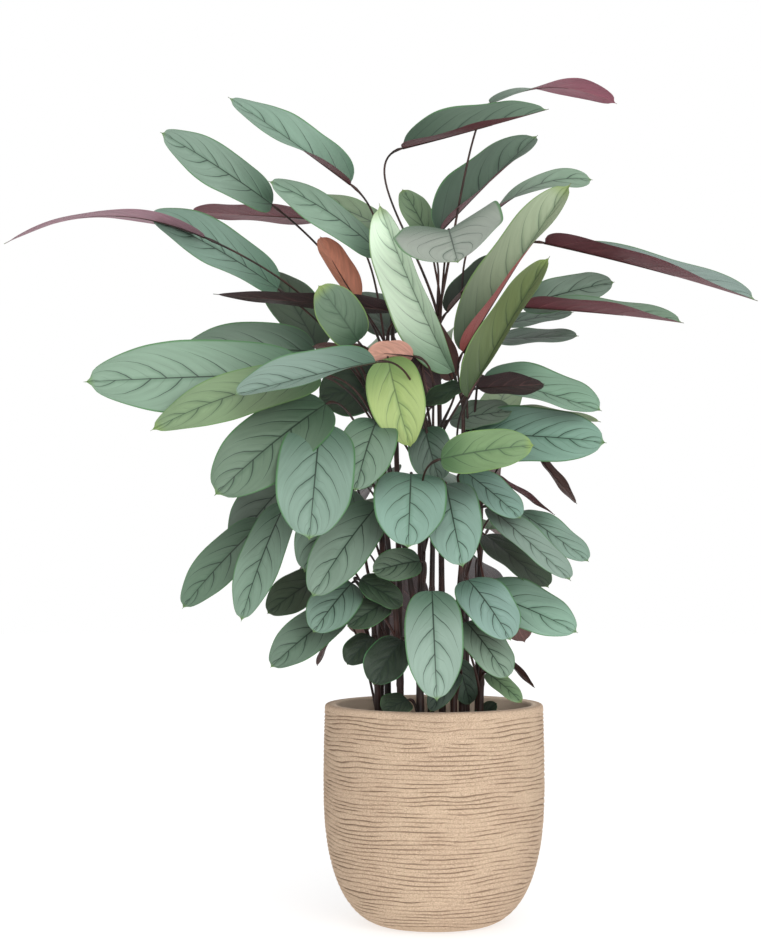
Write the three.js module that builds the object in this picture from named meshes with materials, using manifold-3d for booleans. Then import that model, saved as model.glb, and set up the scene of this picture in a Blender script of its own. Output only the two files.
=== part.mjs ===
// A potted silver-star calathea: leafy shoots that stand in soil, in a round planter with a combed wall.
// Millimetres, +Z up, -Y to the front. The origin is the middle of the planter's foot, on the floor.
import * as THREE from "three";
import { mergeVertices } from "three/addons/utils/BufferGeometryUtils.js";
import Module from "manifold-3d";

const wasm = await Module();
wasm.setup();

const UP = new THREE.Vector3(0, 0, 1);
const DEG = Math.PI / 180;

// The planter
const POT = {
  height: 295,
  radius: 149,
  rimRadius: 147,
  footRadius: 62,
  bellyHeight: 190,
  wall: 17,
  floor: 22,
  rimRound: 4,
  sides: 30,
  insideHeights: [46, 95, 165],
  ribs: 12,
  ribFoot: 8,
  ribDepth: 2.4,
  ribBelowRim: 15,
  ribWave: 1.6,
  wavePitch: 23,
};
const SOIL = { belowRim: 38, crown: 3, gap: 0.4, clear: 1.2 };

// The shoots
const CANE = {
  radius: 5,
  knee: 0.45,
  topRadius: 2.6,
  rootDepth: 60,
  collar: 7,
  sides: 6,
  steps: 5,
  holeGap: 0.6,
};
// A stalk leaves its cane `drop` below the heel, and more by `slope` of the heel's distance from the cane
const STALK = { drop: 45, slope: 0.9, flare: 0.25, rise: 0.4, sides: 3, steps: 3 };
const STALK_RADIUS = { root: 2.5, middle: 2, heel: 2.5 };
// A blade's thickness, its margin's waves from heel to tip and their lag from side to side, its own droop,
// and how far a leaf that lies as it would hang turns outwards from the sky
const BLADE = { thickness: 0.9, waves: 1.7, waveLag: 0.25, droop: 0.08, outwards: 0.6 };
// The margin's outline: the oblong body's end and squareness, and the drawn-out point's start, width
// and hollow
const OUTLINE = { bodyEnd: 0.97, square: 2.6, blunt: 0.42, pointFrom: 0.9, pointWidth: 0.17, hollow: 1.2 };
// Where the blade is cut into rings from heel to tip, and the points of a ring across it
const ALONG = [0.05, 0.19, 0.38, 0.58, 0.76, 0.89, 0.965];
const ACROSS = [1, 0, -1];
// What a leaf is like where its own row doesn't say otherwise: bends as shares of its length, angles in
// degrees. fold is how far each half rises from the midrib, at the heel and at the tip.
const USUAL_LEAF = { sway: 0, fold: [5, 2], curl: 4, twist: 0, wave: 0.03, taper: 0.15, lead: 0.33 };

// A leaf's upper side turns to the sky, and where that is a near thing, away from the middle of the plant
const SIDE_LEAN = 0.3;

// The front elevation. Leaf ends are pixels of the photograph, 761 by 950, seen from the eye, and `out` is
// how far in front of the planter's axis each end stands, in millimetres.
const EYE = new THREE.Vector3(-72, -3000, 554);
const AIM = new THREE.Vector3(-72, 0, 603);
const PICTURE = { middle: [380.5, 475], mmPerPixel: 1.351 };

// Each shoot: where its cane leaves the soil, where the cane ends, and its leaves, from the lowest stalk
// up. heel and tip are the blade's two ends, `face` turns its upper side from the viewer (0) towards the
// sky (90) and on to show the purple underside (over 90); a leaf with no `face` lies as it would hang, and
// `roll` tips it.
const SHOOTS = [
  {
    name: "shoot_top_left",
    foot: [-45, 18],
    top: [-57, 18, 838],
    leaves: [
      { heel: [322, 219], tip: [190, 212], out: [-70, -150], wide: 68, face: 112, from: 700 },
      { heel: [392, 335], tip: [356, 292], out: [-60, -120], wide: 78, face: 35 },
      {
        heel: [357, 300], tip: [320, 236], out: [10, 40], wide: 46,
        face: 150, fold: [35, 10], curl: 20, sway: -0.05,
      },
      { heel: [392, 232], tip: [312, 196], out: [-20, -60], wide: 54, face: 48 },
      {
        heel: [381, 254], tip: [268, 181], out: [40, 100], wide: 62,
        face: 46, fold: [-12, -8], sway: 0.05,
      },
      { heel: [272, 205], tip: [160, 132], out: [50, 150], wide: 76, face: 44, fold: [10, -10], from: 720 },
      { heel: [350, 184], tip: [228, 97], out: [20, 70], wide: 82, face: 61, fold: [46, -4] },
    ],
  },
  {
    name: "shoot_upper_left",
    foot: [-72, -8],
    top: [-62, 2, 795],
    leaves: [
      { heel: [384, 384], tip: [318, 398], out: [-6, 2], wide: 88, face: 30 },
      { heel: [318, 348], tip: [268, 270], out: [-40, -90], wide: 80, face: 35 },
      { heel: [404, 311], tip: [213, 294], out: [50, 90], wide: 66, face: 112, from: 793, taper: 0.8 },
      {
        heel: [278, 289], tip: [147, 215], out: [60, 140], wide: 92,
        face: 52, fold: [12, 6], sway: 0.03, from: 650,
      },
      { heel: [204, 237], tip: [4, 244], out: [120, 230], wide: 58, face: 100, arch: 0.12, from: 660 },
    ],
  },
  {
    name: "shoot_left",
    foot: [-18, -35],
    top: [-92, -70, 734],
    leaves: [
      { heel: [315, 351], tip: [172, 358], out: [0, 30], wide: 86, face: 25, taper: 0.3 },
      { heel: [370, 352], tip: [312, 346], out: [42, 62], wide: 40, face: 110 },
      { heel: [308, 374], tip: [83, 382], out: [60, 190], wide: 104, face: 22, fold: [2, 0], arch: 0.01 },
      {
        heel: [320, 376], tip: [150, 431], out: [110, 200], wide: 76,
        face: 35, fold: [0, -4], sway: 0.03, taper: 0.4,
      },
    ],
  },
  {
    name: "shoot_lower_left",
    foot: [-45, -55],
    top: [-75, -85, 600],
    leaves: [
      { heel: [300, 470], tip: [232, 548], out: [-60, -30], wide: 80, face: 25 },
      { heel: [360, 580], tip: [403, 606], out: [86, 84], wide: 46, face: 40 },
      { heel: [264, 521], tip: [182, 609], out: [-10, 50], wide: 68, face: 35 },
      { heel: [286, 503], tip: [241, 622], out: [40, 110], wide: 64, face: 28, from: 592 },
      { heel: [388, 602], tip: [347, 627], out: [72, 96], wide: 46, face: 30 },
      { heel: [378, 505], tip: [312, 598], out: [80, 160], wide: 75, face: 22 },
      { heel: [326, 404], tip: [214, 496], out: [90, 190], wide: 94, face: 20, taper: 0 },
      { heel: [320, 424], tip: [309, 541], out: [110, 220], wide: 100, face: 0, taper: 0 },
    ],
  },
  {
    name: "shoot_low_left",
    foot: [-75, -40],
    top: [-88, -45, 470],
    leaves: [
      { heel: [335, 625], tip: [317, 666], out: [-30, -40], wide: 34, face: 105 },
      { heel: [372, 637], tip: [347, 665], out: [54, 72], wide: 44, face: 30 },
      { heel: [322, 576], tip: [267, 614], out: [-20, 10], wide: 60, face: 30 },
      { heel: [343, 609], tip: [270, 668], out: [20, 80], wide: 62, face: 25 },
      { heel: [352, 583], tip: [313, 633], out: [60, 110], wide: 64, face: 15 },
      { heel: [352, 490], tip: [304, 573], out: [45, 110], wide: 76, face: 15 },
    ],
  },
  {
    name: "shoot_middle_high",
    foot: [-5, -45],
    top: [0, -50, 640],
    leaves: [
      { heel: [358, 341], tip: [318, 285], out: [70, 110], wide: 62, face: 10 },
      { heel: [453, 372], tip: [379, 203], out: [60, 110], wide: 85, face: -40, fold: [35, 22] },
      { heel: [452, 380], tip: [412, 305], out: [10, 26], wide: 50, face: 150 },
      { heel: [388, 358], tip: [411, 448], out: [84, 98], wide: 80, face: 10, taper: 0.5 },
      { heel: [413, 356], tip: [366, 353], out: [84, 92], wide: 44, face: 140 },
      { heel: [420, 345], tip: [432, 409], out: [48, 48], wide: 55, face: 150 },
      { heel: [462, 385], tip: [424, 405], out: [86, 92], wide: 50, face: 60 },
      { heel: [376, 362], tip: [233, 396], out: [140, 230], wide: 78, face: 56, fold: [34, 14], from: 600 },
      { heel: [377, 420], tip: [355, 492], out: [80, 170], wide: 75, face: 10 },
      { heel: [425, 428], tip: [440, 482], out: [62, 80], wide: 60, face: 10 },
    ],
  },
  {
    name: "shoot_middle_low",
    foot: [-20, -80],
    top: [-15, -70, 500],
    leaves: [
      { heel: [420, 561], tip: [372, 572], out: [90, 120], wide: 46, face: 20 },
      { heel: [402, 640], tip: [373, 685], out: [82, 110], wide: 62, face: 25 },
      { heel: [408, 700], tip: [383, 712], out: [84, 104], wide: 45, face: 40 },
      { heel: [411, 474], tip: [408, 549], out: [90, 220], wide: 96, face: 0 },
      { heel: [446, 484], tip: [463, 568], out: [70, 190], wide: 76, face: 0 },
      { heel: [432, 591], tip: [437, 702], out: [130, 220], wide: 76, face: 0 },
      { heel: [441, 459], tip: [535, 445], out: [150, 190], wide: 56, face: 15 },
    ],
  },
  {
    name: "shoot_top_right",
    foot: [12, 25],
    top: [6, 20, 820],
    leaves: [
      { heel: [430, 240], tip: [402, 189], out: [-100, -110], wide: 46, face: 30 },
      { heel: [440, 232], tip: [538, 135], out: [-20, -60], wide: 94, face: 55, fold: [48, 16] },
      {
        heel: [403, 148], tip: [549, 109], out: [0, 60], wide: 88,
        face: 66, fold: [36, 28], taper: 0.55, sway: -0.02,
      },
      {
        heel: [491, 103], tip: [617, 104], out: [20, -40], wide: 64,
        face: 103, arch: 0.12, twist: 44, lead: 0.12,
      },
      {
        heel: [449, 230], tip: [458, 263], out: [110, 290], wide: 150,
        face: 0, fold: [20, 10], arch: 0.03,
      },
    ],
  },
  {
    name: "shoot_upper_right",
    foot: [38, 0],
    top: [40, 0, 690],
    leaves: [
      { heel: [478, 388], tip: [545, 384], out: [48, 84], wide: 60, face: 120 },
      { heel: [447, 312], tip: [499, 254], out: [-48, -62], wide: 48, face: 64, fold: [42, 34] },
      { heel: [491, 214], tip: [593, 180], out: [-60, -100], wide: 56, face: 65, arch: 0.12, twist: -70 },
      {
        heel: [545, 243], tip: [758, 301], out: [-40, 100], wide: 78,
        face: 84, fold: [34, 24], arch: 0.01, twist: -24,
      },
      { heel: [463, 352], tip: [571, 183], out: [40, 60], wide: 92, face: 56, fold: [46, 20], twist: -24 },
      { heel: [468, 398], tip: [550, 256], out: [110, 130], wide: 70, face: 53, fold: [38, 14] },
      {
        heel: [526, 307], tip: [684, 323], out: [0, 60], wide: 70,
        face: 84, fold: [34, 24], arch: 0.01, twist: -16,
      },
    ],
  },
  {
    name: "shoot_right",
    foot: [45, 35],
    top: [45, 20, 600],
    leaves: [
      { heel: [522, 306], tip: [615, 282], out: [-60, -40], wide: 60, face: 40 },
      { heel: [495, 326], tip: [574, 312], out: [-100, -110], wide: 40, face: 60 },
      { heel: [490, 340], tip: [579, 336], out: [-120, -80], wide: 65, face: 70 },
      { heel: [484, 376], tip: [602, 411], out: [-30, 30], wide: 90, face: 57, fold: [16, 12] },
      { heel: [500, 410], tip: [601, 422], out: [-76, -50], wide: 60, face: 80, arch: 0.03 },
      { heel: [462, 436], tip: [607, 443], out: [-36, 44], wide: 95, face: 35 },
      { heel: [450, 420], tip: [513, 411], out: [-40, -20], wide: 60, face: 50 },
    ],
  },
  {
    name: "shoot_lower_right",
    foot: [25, -50],
    top: [40, -55, 540],
    leaves: [
      { heel: [458, 672], tip: [430, 712], out: [62, 85], wide: 36, face: 30 },
      { heel: [456, 660], tip: [470, 705], out: [28, 12], wide: 38, face: 20 },
      { heel: [540, 458], tip: [577, 504], out: [-60, -40], wide: 40, face: 110 },
      { heel: [498, 478], tip: [555, 515], out: [-20, 20], wide: 50, face: 98 },
      { heel: [465, 472], tip: [521, 519], out: [45, 105], wide: 58, face: 42 },
      { heel: [490, 508], tip: [571, 581], out: [50, 150], wide: 66, face: 56 },
      { heel: [520, 512], tip: [589, 562], out: [-30, 20], wide: 68, face: 55 },
    ],
  },
  {
    name: "shoot_low_right",
    foot: [60, -45],
    top: [70, -60, 420],
    leaves: [
      { heel: [485, 535], tip: [549, 588], out: [0, 60], wide: 75, face: 56 },
      { heel: [468, 580], tip: [511, 641], out: [110, 190], wide: 70, face: 25 },
      { heel: [478, 590], tip: [578, 633], out: [60, 130], wide: 84, face: 38, taper: 0.35 },
      { heel: [466, 622], tip: [508, 679], out: [120, 170], wide: 60, face: 32 },
      { heel: [487, 673], tip: [522, 703], out: [60, 100], wide: 28, face: 30 },
      { heel: [503, 655], tip: [535, 688], out: [-40, -20], wide: 26, face: 110 },
      { heel: [476, 722], tip: [497, 703], out: [20, 30], wide: 26, face: 30 },
    ],
  },
];

// The shoots at the back: their leaves' bearings lie in a sector, in degrees round from +X, where +Y is
// the back
const BACK = {
  seed: 5,
  goldenShare: 0.618,
  stray: 0.15,
  roll: [-35, 35],
  length: [165, 245],
  wideShare: 0.37,
  stalk: [55, 150],
  stalkRise: 90,
  tilt: [-45, 20],
  tiltSpread: 25,
};
const BACK_SHOOTS = [
  {
    name: "shoot_back_left", foot: [-62, 48], top: [-72, 70, 700],
    count: 6, sector: [94, 118], heights: [420, 760],
  },
  {
    name: "shoot_back_middle", foot: [-18, 72], top: [-14, 96, 740],
    count: 6, sector: [76, 110], heights: [370, 770],
  },
  {
    name: "shoot_back_right", foot: [62, 56], top: [70, 80, 640],
    count: 6, sector: [72, 98], heights: [420, 680],
  },
];

const pictureRay = (() => {
  const forward = AIM.clone().sub(EYE).normalize();
  const right = new THREE.Vector3().crossVectors(forward, UP).normalize();
  const up = new THREE.Vector3().crossVectors(right, forward);
  const focal = EYE.distanceTo(AIM) / PICTURE.mmPerPixel;
  return ([px, py]) =>
    forward
      .clone()
      .multiplyScalar(focal)
      .addScaledVector(right, px - PICTURE.middle[0])
      .addScaledVector(up, PICTURE.middle[1] - py);
})();

// The point that the eye sees at a pixel, `out` in front of the planter's axis
function seen(pixel, out) {
  const ray = pictureRay(pixel);
  return EYE.clone().addScaledVector(ray, (-out - EYE.y) / ray.y);
}

const placed = (row) => ({ ...row, heel: seen(row.heel, row.out[0]), tip: seen(row.tip, row.out[1]) });

// A small repeatable random number source, mulberry32
function seededRandom(seed) {
  let state = seed;
  return () => {
    state = (state + 0x6d2b79f5) | 0;
    let mixed = Math.imul(state ^ (state >>> 15), 1 | state);
    mixed = (mixed + Math.imul(mixed ^ (mixed >>> 7), 61 | mixed)) ^ mixed;
    return ((mixed ^ (mixed >>> 14)) >>> 0) / 4294967296;
  };
}

const soilHeight = () => POT.height - SOIL.belowRim;
const acrossTo = (v, axis) => v.clone().addScaledVector(axis, -v.dot(axis)).normalize();

// The direction that a blade's upper side faces
function facing(leaf, heel, chord) {
  const along = chord.clone().normalize();
  const middle = heel.clone().addScaledVector(chord, 0.5);
  if (leaf.face === undefined) {
    const outwards = new THREE.Vector3(middle.x, middle.y, 0).normalize();
    const natural = outwards.multiplyScalar(BLADE.outwards).add(UP);
    return { normal: acrossTo(natural, along).applyAxisAngle(along, leaf.roll * DEG), turn: 1 };
  }
  const toEye = acrossTo(EYE.clone().sub(middle), along);
  const side = new THREE.Vector3().crossVectors(along, toEye);
  const turn = side.z + SIDE_LEAN * Math.sign(middle.x) * side.x < 0 ? -1 : 1;
  return { normal: toEye.applyAxisAngle(along, turn * leaf.face * DEG), turn };
}

// Half the blade's width at t from heel to tip, as a share of half its greatest width: a blunt oblong with
// a rounded heel and a short drawn-out point.
function outline(t) {
  const { bodyEnd, square, blunt, pointFrom, pointWidth, hollow } = OUTLINE;
  const body = t < bodyEnd ? (1 - Math.abs((2 * t) / bodyEnd - 1) ** square) ** blunt : 0;
  const point = t > pointFrom ? pointWidth * ((1 - t) / (1 - pointFrom)) ** hollow : 0;
  return Math.max(body, point);
}

// A blade as a function of t, from heel to tip, and v, from -1 to 1 across: the midrib is a parabola over
// the chord, and each half rises from it by the fold and then curls.
function bladeSurface(leaf, heel, tip) {
  const chord = tip.clone().sub(heel);
  const length = chord.length();
  const { normal, turn } = facing(leaf, heel, chord);
  const side = new THREE.Vector3().crossVectors(chord.clone().normalize(), normal);
  const skyside = side.clone().multiplyScalar(side.z >= 0 ? 1 : -1);
  const arch = leaf.arch ?? BLADE.droop * Math.cos((leaf.face ?? 0) * DEG) ** 4;
  const bend = normal.clone().multiplyScalar(arch).addScaledVector(skyside, leaf.sway);
  bend.multiplyScalar(4 * length);
  const spine = (t) => heel.clone().addScaledVector(chord, t).addScaledVector(bend, t * (1 - t));
  const frame = (t) => {
    const along = chord.clone().addScaledVector(bend, 1 - 2 * t).normalize();
    const face = acrossTo(normal, along).applyAxisAngle(along, turn * leaf.twist * (t - 0.5) * DEG);
    return { along, face, side: new THREE.Vector3().crossVectors(along, face) };
  };
  const point = (t, v, lift) => {
    const { face, side: across } = frame(t);
    const reach = (leaf.wide / 2) * outline(t) * (1 - leaf.taper * t ** 3);
    const start = THREE.MathUtils.lerp(leaf.fold[0], leaf.fold[1], t) * DEG;
    const swing = leaf.curl * Math.abs(v) * DEG + 1e-6;
    const arc = (reach * Math.abs(v)) / swing;
    const sideways = arc * (Math.sin(start + swing) - Math.sin(start)) * Math.sign(v);
    const phase = 2 * Math.PI * (BLADE.waves * t + BLADE.waveLag * v);
    const ripple = leaf.wave * leaf.wide * v * v * Math.sin(phase) * outline(t);
    const rise = arc * (Math.cos(start) - Math.cos(start + swing)) + ripple;
    return spine(t).addScaledVector(across, sideways).addScaledVector(face, rise + lift);
  };
  return { spine, frame, point };
}

// Rings of points joined into a closed skin. A ring is a list of points in order; each has a place in
// `around`, from 0 to 1, and two rings of unlike counts are zipped in that order. The last ring may be a
// single point.
class Skin {
  constructor() {
    this.positions = [];
    this.faces = [];
  }
  ring(points) {
    const first = this.positions.length / 3;
    points.forEach((p) => this.positions.push(p.x, p.y, p.z));
    return points.map((_, i) => first + i);
  }
  cap(ring) {
    for (let i = 1; i < ring.length - 1; i++) this.faces.push(ring[0], ring[i + 1], ring[i]);
  }
  zip(a, b, aroundA, aroundB) {
    let i = 0;
    let j = 0;
    while (i < a.length || j < b.length) {
      const nextA = i < a.length ? (aroundA[i + 1] ?? 1 + aroundA[0]) : Infinity;
      const nextB = j < b.length ? (aroundB[j + 1] ?? 1 + aroundB[0]) : Infinity;
      if (nextA <= nextB) {
        this.faces.push(a[i % a.length], a[(i + 1) % a.length], b[j % b.length]);
        i++;
      } else {
        this.faces.push(a[i % a.length], b[(j + 1) % b.length], b[j % b.length]);
        j++;
      }
    }
  }
  // Two rings of a blade, split along the same diagonals on both faces
  strip(a, b) {
    const half = a.length / 2;
    a.forEach((_, i) => {
      const k = (i + 1) % a.length;
      if (i < half) this.faces.push(a[i], a[k], b[k], a[i], b[k], b[i]);
      else this.faces.push(a[i], a[k], b[i], a[k], b[k], b[i]);
    });
  }
  fan(ring, apex) {
    ring.forEach((v, i) => this.faces.push(v, ring[(i + 1) % ring.length], apex));
  }
  solid() {
    const build = (faces) =>
      new wasm.Manifold(
        new wasm.Mesh({
          numProp: 3,
          vertProperties: new Float32Array(this.positions),
          triVerts: new Uint32Array(faces),
        }),
      );
    const made = build(this.faces);
    if (made.volume() > 0) return made;
    return build(this.faces.map((_, i) => this.faces[i - (i % 3) + 2 - (i % 3)]));
  }
}

const evenly = (count) => Array.from({ length: count }, (_, i) => i / count);

// A tube's ring round a point, in the plane of side and face
const roundRing = (centre, side, face, radius, sides) =>
  evenly(sides).map((share) =>
    centre
      .clone()
      .addScaledVector(side, radius * Math.cos(2 * Math.PI * share))
      .addScaledVector(face, radius * Math.sin(2 * Math.PI * share)),
  );

// The cane: straight up out of the soil, then a gentle lean to its top
function caneOf(shoot) {
  const soilTop = soilHeight();
  const foot = new THREE.Vector3(...shoot.foot, soilTop + CANE.collar);
  const top = new THREE.Vector3(...shoot.top);
  const knee = new THREE.Vector3(foot.x, foot.y, foot.z + CANE.knee * (top.z - foot.z));
  const axis = new THREE.QuadraticBezierCurve3(foot, knee, top);
  const at = (z) => axis.getPoint(Math.min(1, Math.max(0, shareAtHeight(axis, z))));
  const skin = new Skin();
  const root = new THREE.Vector3(foot.x, foot.y, soilTop - CANE.rootDepth);
  const x = new THREE.Vector3(1, 0, 0);
  const y = new THREE.Vector3(0, 1, 0);
  const around = evenly(CANE.sides);
  let last = skin.ring(roundRing(root, x, y, CANE.radius, CANE.sides));
  skin.cap(last);
  for (let step = 0; step <= CANE.steps; step++) {
    const t = step / CANE.steps;
    const radius = THREE.MathUtils.lerp(CANE.radius, CANE.topRadius, t);
    const ring = skin.ring(roundRing(axis.getPoint(t), x, y, radius, CANE.sides));
    skin.zip(last, ring, around, around);
    last = ring;
  }
  skin.cap(last.slice().reverse());
  return { at, foot, solid: skin.solid() };
}

function shareAtHeight(axis, z) {
  let low = 0;
  let high = 1;
  for (let i = 0; i < 30; i++) {
    const middle = (low + high) / 2;
    if (axis.getPoint(middle).z < z) low = middle;
    else high = middle;
  }
  return low;
}

// A leaf: a stalk that rises from the cane and swells into the blade's heel, and the blade, in one skin
function leafSolid(row, cane) {
  const leaf = { ...USUAL_LEAF, ...row };
  const { heel, tip } = leaf;
  const blade = bladeSurface(leaf, heel, tip);
  const start = blade.frame(0);
  const axis = stalkAxis(leaf, cane, heel, start.along);
  const skin = new Skin();
  const aroundStalk = evenly(STALK.sides);
  let last = null;
  for (let step = 0; step <= STALK.steps; step++) {
    const t = step / STALK.steps;
    const along = axis.getTangent(t);
    const side = acrossTo(start.side, along);
    const face = new THREE.Vector3().crossVectors(side, along);
    const radius = STALK_RADIUS[t === 0 ? "root" : t === 1 ? "heel" : "middle"];
    const ring = skin.ring(roundRing(axis.getPoint(t), side, face, radius, STALK.sides));
    if (last) skin.zip(last, ring, aroundStalk, aroundStalk);
    else skin.cap(ring);
    last = ring;
  }
  const half = BLADE.thickness / 2;
  const aroundBlade = evenly(2 * ACROSS.length);
  ALONG.forEach((t, k) => {
    const upper = ACROSS.map((v) => blade.point(t, v, half));
    const lower = ACROSS.map((v) => blade.point(t, -v, -half));
    const ring = skin.ring([...upper, ...lower]);
    if (k) skin.strip(last, ring);
    else skin.zip(last, ring, aroundStalk, aroundBlade);
    last = ring;
  });
  skin.fan(last, skin.ring([blade.spine(1)])[0]);
  return skin.solid();
}

// The stalk leaves the cane below the heel and meets the blade in line with its midrib
function stalkAxis(leaf, cane, heel, along) {
  const level = cane.at(heel.z);
  const aside = Math.hypot(heel.x - level.x, heel.y - level.y);
  const from = cane.at(leaf.from ?? heel.z - STALK.slope * aside - STALK.drop);
  const reach = from.distanceTo(heel);
  const rise = new THREE.Vector3(heel.x - from.x, heel.y - from.y, 0).setLength(STALK.flare).add(UP);
  return new THREE.CubicBezierCurve3(
    from,
    from.clone().addScaledVector(rise, STALK.rise * reach),
    heel.clone().addScaledVector(along, -leaf.lead * reach),
    heel,
  );
}

const material = (color, roughness) => new THREE.MeshStandardMaterial({ color, roughness, metalness: 0 });

function meshOf(name, solid, look) {
  const made = solid.getMesh();
  const geometry = new THREE.BufferGeometry()
    .setAttribute("position", new THREE.BufferAttribute(made.vertProperties, 3))
    .setIndex(new THREE.BufferAttribute(made.triVerts, 1));
  const mesh = new THREE.Mesh(geometry, look);
  mesh.name = name;
  return mesh;
}

// The solid that a closed geometry bounds, with its shared points merged
function solidOf(geometry) {
  geometry.deleteAttribute("normal");
  geometry.deleteAttribute("uv");
  const merged = mergeVertices(geometry, 1e-4);
  const skin = new Skin();
  skin.positions = Array.from(merged.attributes.position.array);
  skin.faces = Array.from(merged.index.array);
  return skin.solid();
}

// A geometry turned round the planter's axis from a profile of [radius, height] points
function turned(profile) {
  const points = profile.map(([radius, height]) => new THREE.Vector2(radius, height));
  return new THREE.LatheGeometry(points, POT.sides).rotateX(Math.PI / 2);
}

// The planter's outer radius at a height: a round foot that opens into a nearly upright wall
function outerRadius(z) {
  const belly = Math.min(1, z / POT.bellyHeight);
  const opened = Math.pow(1 - Math.pow(1 - belly, 2.5), 1 / 2.2);
  const bowl = POT.footRadius + (POT.radius - POT.footRadius) * opened;
  const above = Math.max(0, (z - POT.bellyHeight) / (POT.height - POT.bellyHeight));
  return bowl - (POT.radius - POT.rimRadius) * above ** 2;
}

// The planter: combed ribs that run round the wall in low waves, a smooth rim, and a plain inside
function planter() {
  const top = POT.height;
  const inner = POT.rimRadius - POT.wall;
  const ribTop = top - POT.ribBelowRim;
  const pitch = (ribTop - POT.ribFoot) / POT.ribs;
  const wall = [[outerRadius(POT.ribFoot), POT.ribFoot]];
  for (let rib = 0; rib < POT.ribs; rib++) {
    const crest = POT.ribFoot + (rib + 0.5) * pitch;
    const groove = POT.ribFoot + (rib + 1) * pitch;
    wall.push([outerRadius(crest), crest], [outerRadius(groove) - POT.ribDepth, groove]);
  }
  const rim = [
    [POT.rimRadius, ribTop + POT.ribDepth],
    [POT.rimRadius, top - POT.rimRound],
    [POT.rimRadius - POT.rimRound, top],
    [inner + POT.rimRound, top],
    [inner, top - POT.rimRound],
  ];
  const inside = insideProfile().reverse();
  const profile = [[0, 0], [POT.footRadius, 0], ...wall, ...rim, ...inside, [0, POT.floor]];
  const geometry = turned(profile);
  const places = geometry.attributes.position;
  for (let i = 0; i < places.count; i++) {
    const [x, y, z] = places.array.slice(3 * i, 3 * i + 3);
    const outside = Math.hypot(x, y) > outerRadius(z) - POT.wall / 2;
    if (outside && z > POT.ribFoot + 1 && z < ribTop - 1)
      places.setZ(i, z + POT.ribWave * Math.sin(3 * Math.atan2(y, x) + z / POT.wavePitch));
  }
  return solidOf(geometry);
}

// The planter's inside from its floor to below the rim, as [radius, height] points
const insideProfile = () => [
  [POT.footRadius + 14, POT.floor],
  ...POT.insideHeights.map((z) => [outerRadius(z) - POT.wall, z]),
];

// The soil: a filling a hair narrower than the planter's inside, with a plain hole for each cane
function soil(canes) {
  const top = soilHeight();
  const wall = insideProfile().map(([radius, z], i) => [radius - SOIL.clear, i ? z : z + SOIL.gap]);
  const rimEdge = POT.rimRadius - POT.wall - SOIL.clear;
  const profile = [[0, wall[0][1]], ...wall, [rimEdge, top], [0, top + SOIL.crown]];
  const holes = canes.map(({ foot }) => {
    const radius = (CANE.radius + CANE.holeGap) / Math.cos(Math.PI / CANE.sides);
    const depth = CANE.rootDepth + CANE.holeGap;
    const bore = new THREE.CylinderGeometry(radius, radius, 2 * depth, CANE.sides).rotateX(Math.PI / 2);
    return solidOf(bore.translate(foot.x, foot.y, top));
  });
  return holes.reduce((filling, hole) => filling.subtract(hole), solidOf(turned(profile)));
}

// The leaves at the back, that no picture shows: each shoot's leaves follow the golden angle inside its
// sector, from low drooping ones to high rising ones
function backLeaves(shoot, cane, random) {
  const between = (low, high) => THREE.MathUtils.lerp(low, high, random());
  return Array.from({ length: shoot.count }, (_, i) => {
    const share = (i + 0.5) / shoot.count;
    const turn = (i * BACK.goldenShare + between(0, BACK.stray)) % 1;
    const bearing = THREE.MathUtils.lerp(shoot.sector[0], shoot.sector[1], turn) * DEG;
    const tilt = (THREE.MathUtils.lerp(...BACK.tilt, share) + between(-1, 1) * BACK.tiltSpread) * DEG;
    const length = between(...BACK.length);
    const away = new THREE.Vector3(Math.cos(bearing), Math.sin(bearing), 0);
    const height = THREE.MathUtils.lerp(shoot.heights[0], shoot.heights[1], share);
    const from = height - BACK.stalkRise;
    const root = cane.at(from);
    const heel = new THREE.Vector3(root.x, root.y, height).addScaledVector(away, between(...BACK.stalk));
    const tip = heel.clone().addScaledVector(away, length * Math.cos(tilt));
    tip.addScaledVector(UP, length * Math.sin(tilt));
    return { heel, tip, wide: length * BACK.wideShare, roll: between(...BACK.roll), from };
  });
}

// One solid of several that meet. A chink that their crossing closes in all round is filled.
function grownTogether(solids) {
  const whole = solids.reduce((sum, solid) => sum.add(solid));
  return whole.decompose().find((body) => body.volume() > 0);
}

const plant = new THREE.Group();
const silverGreen = material(0x8ba596, 0.6);
const random = seededRandom(BACK.seed);
const canes = [];
for (const shoot of [...SHOOTS, ...BACK_SHOOTS]) {
  const cane = caneOf(shoot);
  canes.push(cane);
  const rows = shoot.leaves ? shoot.leaves.map(placed) : backLeaves(shoot, cane, random);
  const leaves = rows.map((row) => leafSolid(row, cane));
  plant.add(meshOf(shoot.name, grownTogether([cane.solid, ...leaves]), silverGreen));
}
plant.add(meshOf("pot", planter(), material(0xc4ac94, 0.9)));
plant.add(meshOf("soil", soil(canes), material(0x33251c, 1)));

export default plant;
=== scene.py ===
"""A potted silver-star calathea: shoots with silver-green leaves, in a combed sand-beige planter.

Shapes are worked out in millimetres and put into the meshes in metres. +Z is up and -Y is the front.
"""

import logging
import math
from collections.abc import Iterator
from dataclasses import dataclass
from enum import Enum

import bpy
import numpy as np
from mathutils import Matrix


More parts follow.
